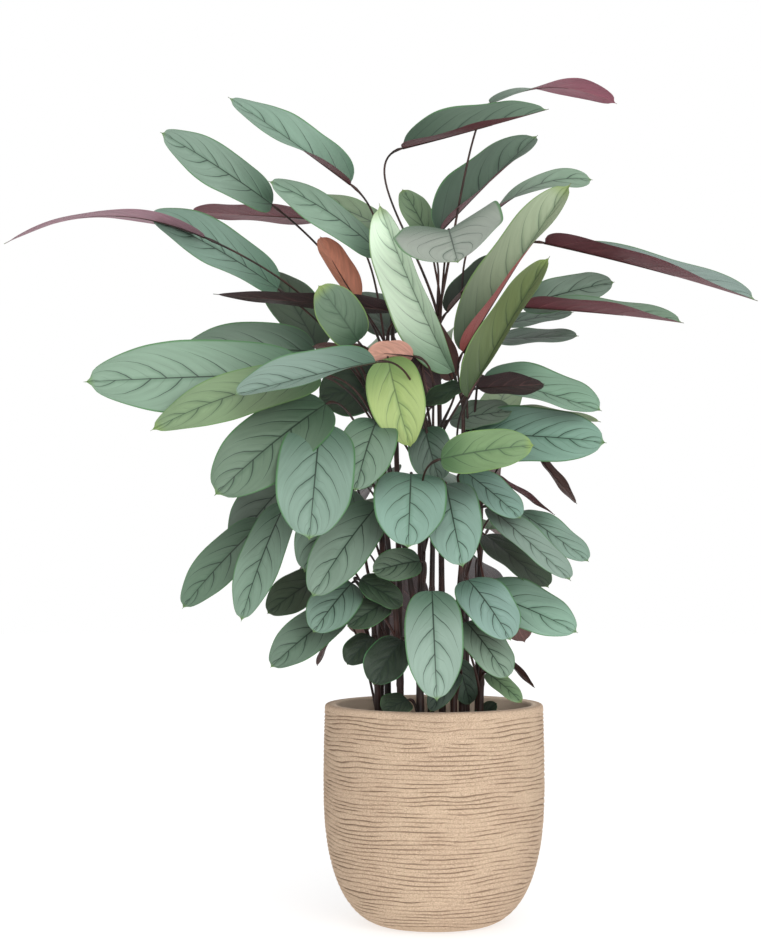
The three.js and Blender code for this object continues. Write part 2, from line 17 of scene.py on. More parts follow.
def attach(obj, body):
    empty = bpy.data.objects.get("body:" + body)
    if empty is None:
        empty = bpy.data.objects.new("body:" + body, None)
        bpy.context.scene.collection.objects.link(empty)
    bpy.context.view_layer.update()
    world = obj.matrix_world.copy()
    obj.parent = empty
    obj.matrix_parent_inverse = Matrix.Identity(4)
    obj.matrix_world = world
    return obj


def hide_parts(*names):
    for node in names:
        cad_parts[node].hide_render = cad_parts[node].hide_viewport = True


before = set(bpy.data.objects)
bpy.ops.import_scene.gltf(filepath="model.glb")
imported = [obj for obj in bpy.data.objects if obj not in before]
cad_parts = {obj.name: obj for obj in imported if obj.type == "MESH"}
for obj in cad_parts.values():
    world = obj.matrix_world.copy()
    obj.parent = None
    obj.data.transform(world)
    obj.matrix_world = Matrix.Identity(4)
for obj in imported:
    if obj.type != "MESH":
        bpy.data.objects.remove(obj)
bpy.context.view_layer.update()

LOG = logging.getLogger("potted_calathea")
MM = 0.001
UP = np.array([0.0, 0.0, 1.0])

Array = np.ndarray
Colour = tuple[float, float, float]
Pair = tuple[float, float]
Point = tuple[float, float, float]


def linear(red: float, green: float, blue: float) -> Colour:
    """Give a display colour, 0 to 255 each, as the linear colour that shaders take."""
    shares = np.array([red, green, blue]) / 255
    bright = ((shares + 0.055) / 1.055) ** 2.4
    return tuple(float(x) for x in np.where(shares <= 0.04045, shares / 12.92, bright))


def unit(v: Array) -> Array:
    """Give vectors at length one."""
    return v / np.linalg.norm(v, axis=-1, keepdims=True)


def across_to(v: Array, axis: Array) -> Array:
    """Give the unit vector of what v has square to a unit axis."""
    return unit(v - (v * axis).sum(-1, keepdims=True) * axis)


def turned_about(v: Array, axis: Array, degrees: Array | float) -> Array:
    """Turn vectors about unit axes that are square to them: v cos a + (axis x v) sin a."""
    angle = np.radians(degrees)
    angle = angle[..., None] if isinstance(angle, np.ndarray) else angle
    return v * np.cos(angle) + np.cross(axis, v) * np.sin(angle)


def stood(place: Array, right: Array, up: Array, back: Array) -> Matrix:
    """Give the matrix of a thing at a place, with its own X, Y and Z along three directions."""
    rows = np.stack([right, up, back, place], axis=1)
    return Matrix([*rows.tolist(), [0, 0, 0, 1]])


def smooth_step(low: float, high: float, x: Array) -> Array:
    """Rise from 0 at low to 1 at high along 3s^2 - 2s^3."""
    s = np.clip((x - low) / (high - low), 0, 1)
    return s * s * (3 - 2 * s)


def within(ends: Pair, share: float) -> float:
    """Give the value at a share of the way between two ends."""
    return ends[0] + (ends[1] - ends[0]) * share


def lattice_noise(points: Array, cell: float, seed: int) -> Array:
    """Give smooth noise from -1 to 1 at points.

    Each corner of a cubic lattice has a random value, and a point takes the blend of its eight corners by
    smooth steps along each side.

    Args:
        points: Places, as an (n, 3) array.
        cell: The lattice's pitch, in the unit of points.
        seed: Which noise.

    Returns:
        One value a point.
    """
    table = np.random.default_rng(seed).uniform(-1, 1, 4096)
    low = np.floor(points / cell).astype(np.int64)
    part = points / cell - low
    part = part * part * (3 - 2 * part)
    total = np.zeros(len(points))
    for corner in np.ndindex(2, 2, 2):
        place = low + corner
        index = (place[:, 0] * 73856093) ^ (place[:, 1] * 19349663) ^ (place[:, 2] * 83492791)
        share = np.where(corner, part, 1 - part).prod(1)
        total += share * table[index & 4095]
    return total


class Tone(Enum):
    """The colour of a leaf's upper side, as a display colour, and how far the yellow of its tip spreads.

    The deep and the shade tones are painted shade: darker copies of the leaf green for leaves that lie in
    shade inside the plant. The lilac tone is a painted sheen, the grey-lilac of a grazing reflection.
    """

    SILVER = (126, 152, 135, 0.2)
    BRIGHT = (136, 168, 151, 0.2)
    GREY_GREEN = (101, 125, 107, 0.2)
    # Painted sheen: the grey-lilac that a grazing reflection gives the upper side
    PAINTED_SHEEN = (150, 160, 148, 0.2)
    # Painted shade: a darker copy of the leaf green, for leaves in shade
    DARK_PAINTED_SHADE = (68, 90, 68, 0.2)
    # Painted shade: a very dark copy of the leaf green, for leaves deep in shade that fill gaps in the
    # foliage
    PAINTED_SHADE = (46, 66, 46, 0.1)
    PALE = (122, 148, 112, 0.6)
    PALE_YOUNG = (234, 250, 224, 0.7)
    FRESH = (96, 126, 98, 1.6)
    YOUNG = (112, 140, 98, 0.8)
    YELLOW = (182, 194, 126, 0.9)
    OLIVE = (158, 175, 140, 0.8)
    DARK_OLIVE = (106, 118, 76, 0.8)


class Under(Enum):
    """The colour of a leaf's underside, as a display colour."""

    MAROON = (104, 52, 60)
    BLACK_MAROON = (58, 40, 42)
    BROWN = (92, 60, 54)
    MAUVE = (150, 112, 124)
    ROSE = (142, 80, 96)
    PINK = (222, 166, 148)
    ORANGE = (208, 136, 110)
    SALMON = (168, 84, 80)


@dataclass(frozen=True)
class Leaf:
    """One leaf.

    `heel` and `tip` are the blade's ends, as pixels of the picture, 761 by 950, and `out` is how far in front
    of the planter's axis each end stands, in millimetres. A leaf that a rule places has all three empty.
    `wide` is its width in millimetres. `face` turns the upper side from the viewer, 0, towards the sky, 90,
    and on to show the underside. A leaf without it lies as it would hang, and `roll` tips it. `fold` is how
    far each half rises from the midrib at the heel and at the tip, `curl` how far it curls on, and `twist`
    how far the blade turns on the way, all in degrees. `wave` is the height of the margin's waves as a share
    of the width, `taper` how much of the width is lost at the tip, `arch` and `sway` how far the midrib bows,
    `lead` how straight the stalk runs into it, and `start` the height where the stalk leaves its cane.
    """

    heel: tuple[float, ...]
    tip: tuple[float, ...]
    out: tuple[float, ...]
    wide: float
    tone: Tone
    face: float | None = None
    fold: Pair = (5, 2)
    curl: float = 4
    twist: float = 0
    wave: float = 0.03
    taper: float = 0.15
    lead: float = 0.33
    sway: float = 0
    arch: float | None = None
    roll: float = 0
    start: float | None = None
    under: Under = Under.MAROON


@dataclass(frozen=True)
class Shoot:
    """A cane, by where it leaves the soil and where it ends, with its leaves."""

    name: str
    foot: Pair
    top: Point
    leaves: tuple[Leaf, ...]


@dataclass(frozen=True)
class BackShoot:
    """A shoot at the back: the ranges its leaves' bearings, in degrees round from +X, and heights lie in."""

    name: str
    foot: Pair
    top: Point
    sector: Pair
    heights: Pair
    count: int = 6


@dataclass(frozen=True)
class BackRule:
    """The rule that places the leaves at the back, in millimetres and degrees.

    Their bearings follow the golden share, with `stray` added, and their tilts rise with their height.
    """

    seed: int = 5
    golden_share: float = 0.618
    stray: float = 0.15
    tilt: Pair = (-45, 20)
    tilt_spread: float = 25
    length: Pair = (165, 245)
    wide_share: float = 0.37
    stalk: Pair = (55, 150)
    stalk_rise: float = 90
    roll: Pair = (-35, 35)
    tones: tuple[Tone, ...] = (Tone.SILVER, Tone.GREY_GREEN, Tone.PALE)
    unders: tuple[Under, ...] = (Under.BROWN, Under.BLACK_MAROON)


SHOOTS: tuple[Shoot, ...] = (
    Shoot(
        "shoot_top_left",
        foot=(-45, 18),
        top=(-57, 18, 838),
        leaves=(
            Leaf((322, 219), (190, 212), (-70, -150), 68, Tone.SILVER, face=112, start=700),
            Leaf((392, 335), (356, 292), (-60, -120), 78, Tone.DARK_PAINTED_SHADE, face=35),
            Leaf(
                (357, 300), (320, 236), (10, 40), 46, Tone.SILVER,
                face=150, fold=(35, 10), curl=20, under=Under.ORANGE, sway=-0.05,
            ),
            Leaf((392, 232), (312, 196), (-20, -60), 54, Tone.PALE, face=48),
            Leaf((381, 254), (268, 181), (40, 100), 62, Tone.SILVER, face=46, fold=(-12, -8), sway=0.05),
            Leaf((272, 205), (160, 132), (50, 150), 76, Tone.SILVER, face=44, fold=(10, -10), start=720),
            Leaf((350, 184), (228, 97), (20, 70), 82, Tone.SILVER, face=61, fold=(46, -4)),
        ),
    ),
    Shoot(
        "shoot_upper_left",
        foot=(-72, -8),
        top=(-62, 2, 795),
        leaves=(
            Leaf((384, 384), (318, 398), (-6, 2), 88, Tone.PAINTED_SHADE, face=30),
            Leaf((318, 348), (268, 270), (-40, -90), 80, Tone.DARK_PAINTED_SHADE, face=35),
            Leaf(
                (404, 311), (213, 294), (50, 90), 66, Tone.DARK_PAINTED_SHADE,
                face=112, under=Under.BLACK_MAROON, taper=0.8, start=793,
            ),
            Leaf(
                (278, 289), (147, 215), (60, 140), 92, Tone.SILVER,
                face=52, fold=(12, 6), sway=0.03, start=650,
            ),
            Leaf(
                (204, 237), (4, 244), (120, 230), 58, Tone.SILVER,
                face=100, arch=0.12, under=Under.MAUVE, start=660,
            ),
        ),
    ),
    Shoot(
        "shoot_left",
        foot=(-18, -35),
        top=(-92, -70, 734),
        leaves=(
            Leaf((315, 351), (172, 358), (0, 30), 86, Tone.GREY_GREEN, face=25, taper=0.3),
            Leaf((370, 352), (312, 346), (42, 62), 40, Tone.DARK_PAINTED_SHADE, face=110, under=Under.BROWN),
            Leaf((308, 374), (83, 382), (60, 190), 104, Tone.SILVER, face=22, fold=(2, 0), arch=0.01),
            Leaf(
                (320, 376), (150, 431), (110, 200), 76, Tone.PALE,
                face=35, fold=(0, -4), sway=0.03, taper=0.4,
            ),
        ),
    ),
    Shoot(
        "shoot_lower_left",
        foot=(-45, -55),
        top=(-75, -85, 600),
        leaves=(
            Leaf((300, 470), (232, 548), (-60, -30), 80, Tone.GREY_GREEN, face=25),
            Leaf((360, 580), (403, 606), (86, 84), 46, Tone.DARK_PAINTED_SHADE, face=40),
            Leaf((264, 521), (182, 609), (-10, 50), 68, Tone.GREY_GREEN, face=35),
            Leaf((286, 503), (241, 622), (40, 110), 64, Tone.SILVER, face=28, start=592),
            Leaf((388, 602), (347, 627), (72, 96), 46, Tone.DARK_PAINTED_SHADE, face=30),
            Leaf((378, 505), (312, 598), (80, 160), 75, Tone.SILVER, face=22),
            Leaf((326, 404), (214, 496), (90, 190), 94, Tone.GREY_GREEN, face=20, taper=0),
            Leaf((320, 424), (309, 541), (110, 220), 100, Tone.SILVER, face=0, taper=0),
        ),
    ),
    Shoot(
        "shoot_low_left",
        foot=(-75, -40),
        top=(-88, -45, 470),
        leaves=(
            Leaf((335, 625), (317, 666), (-30, -40), 34, Tone.GREY_GREEN, face=105, under=Under.BROWN),
            Leaf((372, 637), (347, 665), (54, 72), 44, Tone.PAINTED_SHADE, face=30),
            Leaf((322, 576), (267, 614), (-20, 10), 60, Tone.DARK_PAINTED_SHADE, face=30),
            Leaf((343, 609), (270, 668), (20, 80), 62, Tone.GREY_GREEN, face=25),
            Leaf((352, 583), (313, 633), (60, 110), 64, Tone.SILVER, face=15),
            Leaf((352, 490), (304, 573), (45, 110), 76, Tone.SILVER, face=15),
        ),
    ),
    Shoot(
        "shoot_middle_high",
        foot=(-5, -45),
        top=(0, -50, 640),
        leaves=(
            Leaf((358, 341), (318, 285), (70, 110), 62, Tone.FRESH, face=10),
            Leaf((453, 372), (379, 203), (60, 110), 85, Tone.PALE_YOUNG, face=-40, fold=(35, 22)),
            Leaf((452, 380), (412, 305), (10, 26), 50, Tone.DARK_PAINTED_SHADE, face=150, under=Under.BROWN),
            Leaf((388, 358), (411, 448), (84, 98), 80, Tone.YELLOW, face=10, taper=0.5),
            Leaf((413, 356), (366, 353), (84, 92), 44, Tone.DARK_PAINTED_SHADE, face=140, under=Under.PINK),
            Leaf((420, 345), (432, 409), (48, 48), 55, Tone.PAINTED_SHADE, face=150, under=Under.BLACK_MAROON),
            Leaf((462, 385), (424, 405), (86, 92), 50, Tone.PAINTED_SHADE, face=60),
            Leaf((376, 362), (233, 396), (140, 230), 78, Tone.SILVER, face=56, fold=(34, 14), start=600),
            Leaf((377, 420), (355, 492), (80, 170), 75, Tone.SILVER, face=10),
            Leaf((425, 428), (440, 482), (62, 80), 60, Tone.GREY_GREEN, face=10),
        ),
    ),
    Shoot(
        "shoot_middle_low",
        foot=(-20, -80),
        top=(-15, -70, 500),
        leaves=(
            Leaf((420, 561), (372, 572), (90, 120), 46, Tone.GREY_GREEN, face=20),
            Leaf((402, 640), (373, 685), (82, 110), 62, Tone.PAINTED_SHADE, face=25),
            Leaf((408, 700), (383, 712), (84, 104), 45, Tone.DARK_PAINTED_SHADE, face=40),
            Leaf((411, 474), (408, 549), (90, 220), 96, Tone.BRIGHT, face=0),
            Leaf((446, 484), (463, 568), (70, 190), 76, Tone.BRIGHT, face=0),
            Leaf((432, 591), (437, 702), (130, 220), 76, Tone.BRIGHT, face=0),
            Leaf((441, 459), (535, 445), (150, 190), 56, Tone.YOUNG, face=15),
        ),
    ),
    Shoot(
        "shoot_top_right",
        foot=(12, 25),
        top=(6, 20, 820),
        leaves=(
            Leaf((430, 240), (402, 189), (-100, -110), 46, Tone.PALE, face=30),
            Leaf((440, 232), (538, 135), (-20, -60), 94, Tone.GREY_GREEN, face=55, fold=(48, 16)),
            Leaf(
                (403, 148), (549, 109), (0, 60), 88, Tone.GREY_GREEN,
                face=66, fold=(36, 28), taper=0.55, sway=-0.02,
            ),
            Leaf(
                (491, 103), (617, 104), (20, -40), 64, Tone.SILVER,
                face=103, arch=0.12, twist=44, lead=0.12, under=Under.ROSE,
            ),
            Leaf((449, 230), (458, 263), (110, 290), 150, Tone.PAINTED_SHEEN, face=0, fold=(20, 10), arch=0.03),
        ),
    ),
    Shoot(
        "shoot_upper_right",
        foot=(38, 0),
        top=(40, 0, 690),
        leaves=(
            Leaf((478, 388), (545, 384), (48, 84), 60, Tone.DARK_PAINTED_SHADE, face=120, under=Under.BLACK_MAROON),
            Leaf(
                (447, 312), (499, 254), (-48, -62), 48, Tone.PAINTED_SHADE, face=64, fold=(42, 34), under=Under.BROWN,
            ),
            Leaf((491, 214), (593, 180), (-60, -100), 56, Tone.SILVER, face=65, arch=0.12, twist=-70),
            Leaf(
                (545, 243), (758, 301), (-40, 100), 78, Tone.SILVER,
                face=84, fold=(34, 24), arch=0.01, twist=-24,
            ),
            Leaf(
                (463, 352), (571, 183), (40, 60), 92, Tone.OLIVE,
                face=56, fold=(46, 20), twist=-24, under=Under.SALMON,
            ),
            Leaf((468, 398), (550, 256), (110, 130), 70, Tone.DARK_OLIVE, face=53, fold=(38, 14)),
            Leaf(
                (526, 307), (684, 323), (0, 60), 70, Tone.SILVER,
                face=84, fold=(34, 24), arch=0.01, twist=-16,
            ),
        ),
    ),
    Shoot(
        "shoot_right",
        foot=(45, 35),
        top=(45, 20, 600),
        leaves=(
            Leaf((522, 306), (615, 282), (-60, -40), 60, Tone.SILVER, face=40),
            Leaf((495, 326), (574, 312), (-100, -110), 40, Tone.GREY_GREEN, face=60),
            Leaf((490, 340), (579, 336), (-120, -80), 65, Tone.GREY_GREEN, face=70),
            Leaf((484, 376), (602, 411), (-30, 30), 90, Tone.BRIGHT, face=57, fold=(16, 12)),
            Leaf((500, 410), (601, 422), (-76, -50), 60, Tone.YOUNG, face=80, arch=0.03, under=Under.BROWN),
            Leaf((462, 436), (607, 443), (-36, 44), 95, Tone.BRIGHT, face=35),
            Leaf((450, 420), (513, 411), (-40, -20), 60, Tone.SILVER, face=50),
        ),
    ),
    Shoot(
        "shoot_lower_right",
        foot=(25, -50),
        top=(40, -55, 540),
        leaves=(
            Leaf((458, 672), (430, 712), (62, 85), 36, Tone.GREY_GREEN, face=30),
            Leaf((456, 660), (470, 705), (28, 12), 38, Tone.GREY_GREEN, face=20),
            Leaf((540, 458), (577, 504), (-60, -40), 40, Tone.GREY_GREEN, face=110, under=Under.BROWN),
            Leaf((498, 478), (555, 515), (-20, 20), 50, Tone.DARK_PAINTED_SHADE, face=98),
            Leaf((465, 472), (521, 519), (45, 105), 58, Tone.BRIGHT, face=42),
            Leaf((490, 508), (571, 581), (50, 150), 66, Tone.BRIGHT, face=56),
            Leaf((520, 512), (589, 562), (-30, 20), 68, Tone.BRIGHT, face=55),
        ),
    ),
    Shoot(
        "shoot_low_right",
        foot=(60, -45),
        top=(70, -60, 420),
        leaves=(
            Leaf((485, 535), (549, 588), (0, 60), 75, Tone.DARK_PAINTED_SHADE, face=56),
            Leaf((468, 580), (511, 641), (110, 190), 70, Tone.BRIGHT, face=25),
            Leaf((478, 590), (578, 633), (60, 130), 84, Tone.BRIGHT, face=38, taper=0.35),
            Leaf((466, 622), (508, 679), (120, 170), 60, Tone.SILVER, face=32),
            Leaf((487, 673), (522, 703), (60, 100), 28, Tone.PALE, face=30),
            Leaf((503, 655), (535, 688), (-40, -20), 26, Tone.DARK_PAINTED_SHADE, face=110, under=Under.BROWN),
            Leaf((476, 722), (497, 703), (20, 30), 26, Tone.DARK_PAINTED_SHADE, face=30),
        ),
    ),
)

BACK_SHOOTS: tuple[BackShoot, ...] = (
    BackShoot("shoot_back_left", (-62, 48), (-72, 70, 700), sector=(94, 118), heights=(420, 760)),
    BackShoot("shoot_back_middle", (-18, 72), (-14, 96, 740), sector=(76, 110), heights=(370, 770)),
    BackShoot("shoot_back_right", (62, 56), (70, 80, 640), sector=(72, 98), heights=(420, 680)),
)


class Draws:
    """A small repeatable source of random numbers, mulberry32, with 32-bit whole numbers."""

    def __init__(self, seed: int) -> None:
        """Start at a seed."""
        self.state = seed

    def share(self) -> float:
        """Give the next number from 0 to 1.

        Returns:
            The number.
        """
        whole = 0xFFFFFFFF
        self.state = (self.state + 0x6D2B79F5) & whole
        mixed = ((self.state ^ (self.state >> 15)) * (1 | self.state)) & whole
        mixed ^= (mixed + ((mixed ^ (mixed >> 7)) * (61 | mixed) & whole)) & whole
        return (mixed ^ (mixed >> 14)) / 2**32

    def between(self, low: float, high: float) -> float:
        """Give the next number from low to high."""
        return low + (high - low) * self.share()


@dataclass(frozen=True)
class Viewpoint:
    """Where the picture is taken from."""

    eye: Point = (-72, -3000, 554)
    aim: Point = (-72, 0, 603)
    middle: Pair = (380.5, 475)
    mm_per_pixel: float = 1.351
    long_side: int = 950
    sensor: float = 36

    def axes(self) -> tuple[Array, Array, Array]:
        """Give the view's forward, right and up directions."""
        forward = unit(np.subtract(self.aim, self.eye).astype(float))
        right = unit(np.cross(forward, UP))
        return forward, right, np.cross(right, forward)

    def focal(self) -> float:
        """Give the distance from eye to picture, in pixels."""
        return math.dist(self.eye, self.aim) / self.mm_per_pixel

    def seen(self, pixel: Pair, out: float) -> Array:
        """Give the point that the eye sees at a pixel, `out` in front of the planter's axis."""
        forward, right, up = self.axes()
        ray = forward * self.focal() + right * (pixel[0] - self.middle[0]) + up * (self.middle[1] - pixel[1])
        return np.array(self.eye) + ray * ((-out - self.eye[1]) / ray[1])

    def camera(self) -> bpy.types.Object:
        """Make the camera.

        Returns:
            The camera, which is the scene's own from then on.
        """
        data = bpy.data.cameras.new("camera")
        data.sensor_width = self.sensor
        data.lens = self.sensor * self.focal() / self.long_side
        data.clip_end = 100
        camera = bpy.data.objects.new("camera", data)
        bpy.context.scene.collection.objects.link(camera)
        forward, right, up = self.axes()
        camera.matrix_world = stood(np.array(self.eye) * MM, right, up, -forward)
        bpy.context.scene.camera = camera
        return camera


VIEW = Viewpoint()


@dataclass
class Patch:
    """A piece of mesh on its way into a piece: points in millimetres, faces, and what the shaders read.

    `where` is three numbers a point that place it on its surface, `tint` and `back` are colours, `trait` is a
    leaf's number and ripeness, and `span` its half width and the gap between side veins. `crease` numbers the
    points' columns, so that an edge along a marked column is sharp.
    """

    points: Array
    quads: Array
    triangles: Array
    quad_slot: Array
    triangle_slot: Array
    where: Array
    tint: Array
    back: Array
    trait: Array
    span: Array
    crease: Array


def plain_patch(points: Array, quads: Array, triangles: Array, slot: int, where: Array) -> Patch:
    """Make a patch with one material slot, no tints and no sharp edges.

    Args:
        points: Points, (n, 3).
        quads: Faces of four points.
        triangles: Faces of three points.
        slot: The material slot.
        where: Three numbers a point that place it on its surface.

    Returns:
        The patch.
    """
    none = np.zeros((len(points), 3))
    return Patch(
        points, quads, triangles, np.full(len(quads), slot), np.full(len(triangles), slot),
        where, none, none, none, none, np.full(len(points), -1),
    )


def ring_faces(rings: int, sides: int) -> Array:
    """Give the quads between rings of points that close round: point j of ring i is i * sides + j.

    Args:
        rings: How many rings.
        sides: Points a ring.

    Returns:
        The quads, (n, 4).
    """
    i, j = np.meshgrid(np.arange(rings - 1), np.arange(sides), indexing="ij")
    k = (j + 1) % sides
    corners = [i * sides + j, i * sides + k, (i + 1) * sides + k, (i + 1) * sides + j]
    return np.stack(corners, -1).reshape(-1, 4)


def end_fans(rings: int, sides: int) -> Array:
    """Give the triangles that close the first ring on point rings * sides and the last on the one after.

    Args:
        rings: How many rings.
        sides: Points a ring.

    Returns:
        The triangles, (n, 3).
    """
    j = np.arange(sides)
    k = (j + 1) % sides
    first, last = rings * sides, rings * sides + 1
    start = np.stack([k, j, np.full(sides, first)], -1)
    above = (rings - 1) * sides
    end = np.stack([above + j, above + k, np.full(sides, last)], -1)
    return np.concatenate([start, end])


def tube(path: Array, radius: Array, side: Array, sides: int, slot: int) -> Patch:
    """Make a closed round tube along a path.

    Point j of ring i is path + radius * (side cos a + face sin a), where a goes round with j and face is
    square to the path's own direction and side.

    Args:
        path: Points, (n, 3).
        radius: One a point.
        side: A direction that the rings' first points keep to.
        sides: Points round.
        slot: The material slot.

    Returns:
        The tube.
    """
    along = unit(np.gradient(path, axis=0))
    across = across_to(np.broadcast_to(side, path.shape), along)
    face = np.cross(along, across)
    angle = 2 * np.pi * np.arange(sides) / sides
    ring = across[:, None] * np.cos(angle)[:, None] + face[:, None] * np.sin(angle)[:, None]
    rings = path[:, None] + radius[:, None, None] * ring
    points = np.concatenate([rings.reshape(-1, 3), path[[0, -1]]])
    rows = len(path)
    return plain_patch(points, ring_faces(rows, sides), end_fans(rows, sides), slot, np.zeros_like(points))


def piece_from(name: str, patches: list[Patch], materials: list[bpy.types.Material]) -> bpy.types.Object:
    """Join patches into one smooth-shaded object at the origin, with sharp edges along creased columns.

    Args:
        name: The piece's name.
        patches: What it is made of.
        materials: Its materials, by slot.

    Returns:
        The piece.
    """
    offsets = np.cumsum([0] + [len(p.points) for p in patches[:-1]])
    points = np.concatenate([p.points for p in patches]) * MM
    quads = np.concatenate([p.quads + at for p, at in zip(patches, offsets)])
    triangles = np.concatenate([p.triangles + at for p, at in zip(patches, offsets)])
    slots = np.concatenate([p.quad_slot for p in patches] + [p.triangle_slot for p in patches])
    mesh = bpy.data.meshes.new(name)
    mesh.vertices.add(len(points))
    mesh.vertices.foreach_set("co", points.ravel())
    corners = np.concatenate([quads.ravel(), triangles.ravel()]).astype(np.int32)
    sizes = np.concatenate([np.full(len(quads), 4), np.full(len(triangles), 3)])
    mesh.loops.add(len(corners))
    mesh.loops.foreach_set("vertex_index", corners)
    mesh.polygons.add(len(sizes))
    mesh.polygons.foreach_set("loop_start", np.concatenate([[0], np.cumsum(sizes)[:-1]]).astype(np.int32))
    mesh.polygons.foreach_set("material_index", slots.astype(np.int32))
    mesh.update(calc_edges=True)
    for label in ("where", "tint", "back", "trait", "span"):
        values = np.concatenate([getattr(p, label) for p in patches]).astype(np.float32)
        layer = mesh.attributes.new(label, "FLOAT_VECTOR", "POINT")
        layer.data.foreach_set("vector", values.ravel())
    crease = np.concatenate([p.crease for p in patches])
    ends = np.empty(2 * len(mesh.edges), np.int32)
    mesh.edges.foreach_get("vertices", ends)
    first, second = crease[ends[::2]], crease[ends[1::2]]
    sharp = mesh.attributes.new("sharp_edge", "BOOLEAN", "EDGE")
    sharp.data.foreach_set("value", (first == second) & (first >= 0))
    for material in materials:
        mesh.materials.append(material)
    piece = bpy.data.objects.new(name, mesh)
    bpy.context.scene.collection.objects.link(piece)
    return piece


@dataclass(frozen=True)
class Placed:
    """A leaf worked out in space: where its blade starts, and how it runs, faces, twists and bows."""

    leaf: Leaf
    heel: Array
    chord: Array
    normal: Array
    turn: float
    bend: Array
    length: float

    @staticmethod
    def of(leaf: Leaf, heel: Array, tip: Array) -> "Placed":
        """Face the blade to the viewer and turn it by `face`, or lay it as it would hang.

        Args:
            leaf: The leaf.
            heel: The blade's end at the stalk, a point.
            tip: Its other end, a point.

        Returns:
            The leaf in its place.
        """
        chord = tip - heel
        along = unit(chord)
        middle = heel + chord / 2
        turn = 1.0
        if leaf.face is None:
            outwards = unit(middle * [1, 1, 0]) * Blade.outwards + UP
            normal = turned_about(across_to(outwards, along), along, leaf.roll)
        else:
            to_eye = across_to(np.array(VIEW.eye) - middle, along)
            side = np.cross(along, to_eye)
            turn = -1.0 if side[2] + Blade.side_lean * np.sign(middle[0]) * side[0] < 0 else 1.0
            normal = turned_about(to_eye, along, turn * leaf.face)
        side = np.cross(along, normal)
        skyside = side if side[2] >= 0 else -side
        length = float(np.linalg.norm(chord))
        arch = leaf.arch
        if arch is None:
            arch = Blade.droop * math.cos(math.radians(leaf.face or 0)) ** 4
        bend = 4 * length * (arch * normal + leaf.sway * skyside)
        return Placed(leaf, heel, chord, normal, turn, bend, length)

    def spine(self, t: Array) -> Array:
        """Give the midrib: heel + chord t + bend t (1 - t)."""
        t = np.asarray(t, float)[..., None]
        return self.heel + self.chord * t + self.bend * t * (1 - t)

    def axes(self, t: Array) -> tuple[Array, Array, Array]:
        """Give the midrib's direction, the upper side's direction and the cross direction at t.

        Args:
            t: Shares along.

        Returns:
            The three directions, each with the shape of t and one axis more.
        """
        t = np.asarray(t, float)
        along = unit(self.chord + self.bend * (1 - 2 * t[..., None]))
        twist = self.turn * self.leaf.twist * (t - 0.5)
        face = turned_about(across_to(np.broadcast_to(self.normal, along.shape), along), along, twist)
        return along, face, np.cross(along, face)


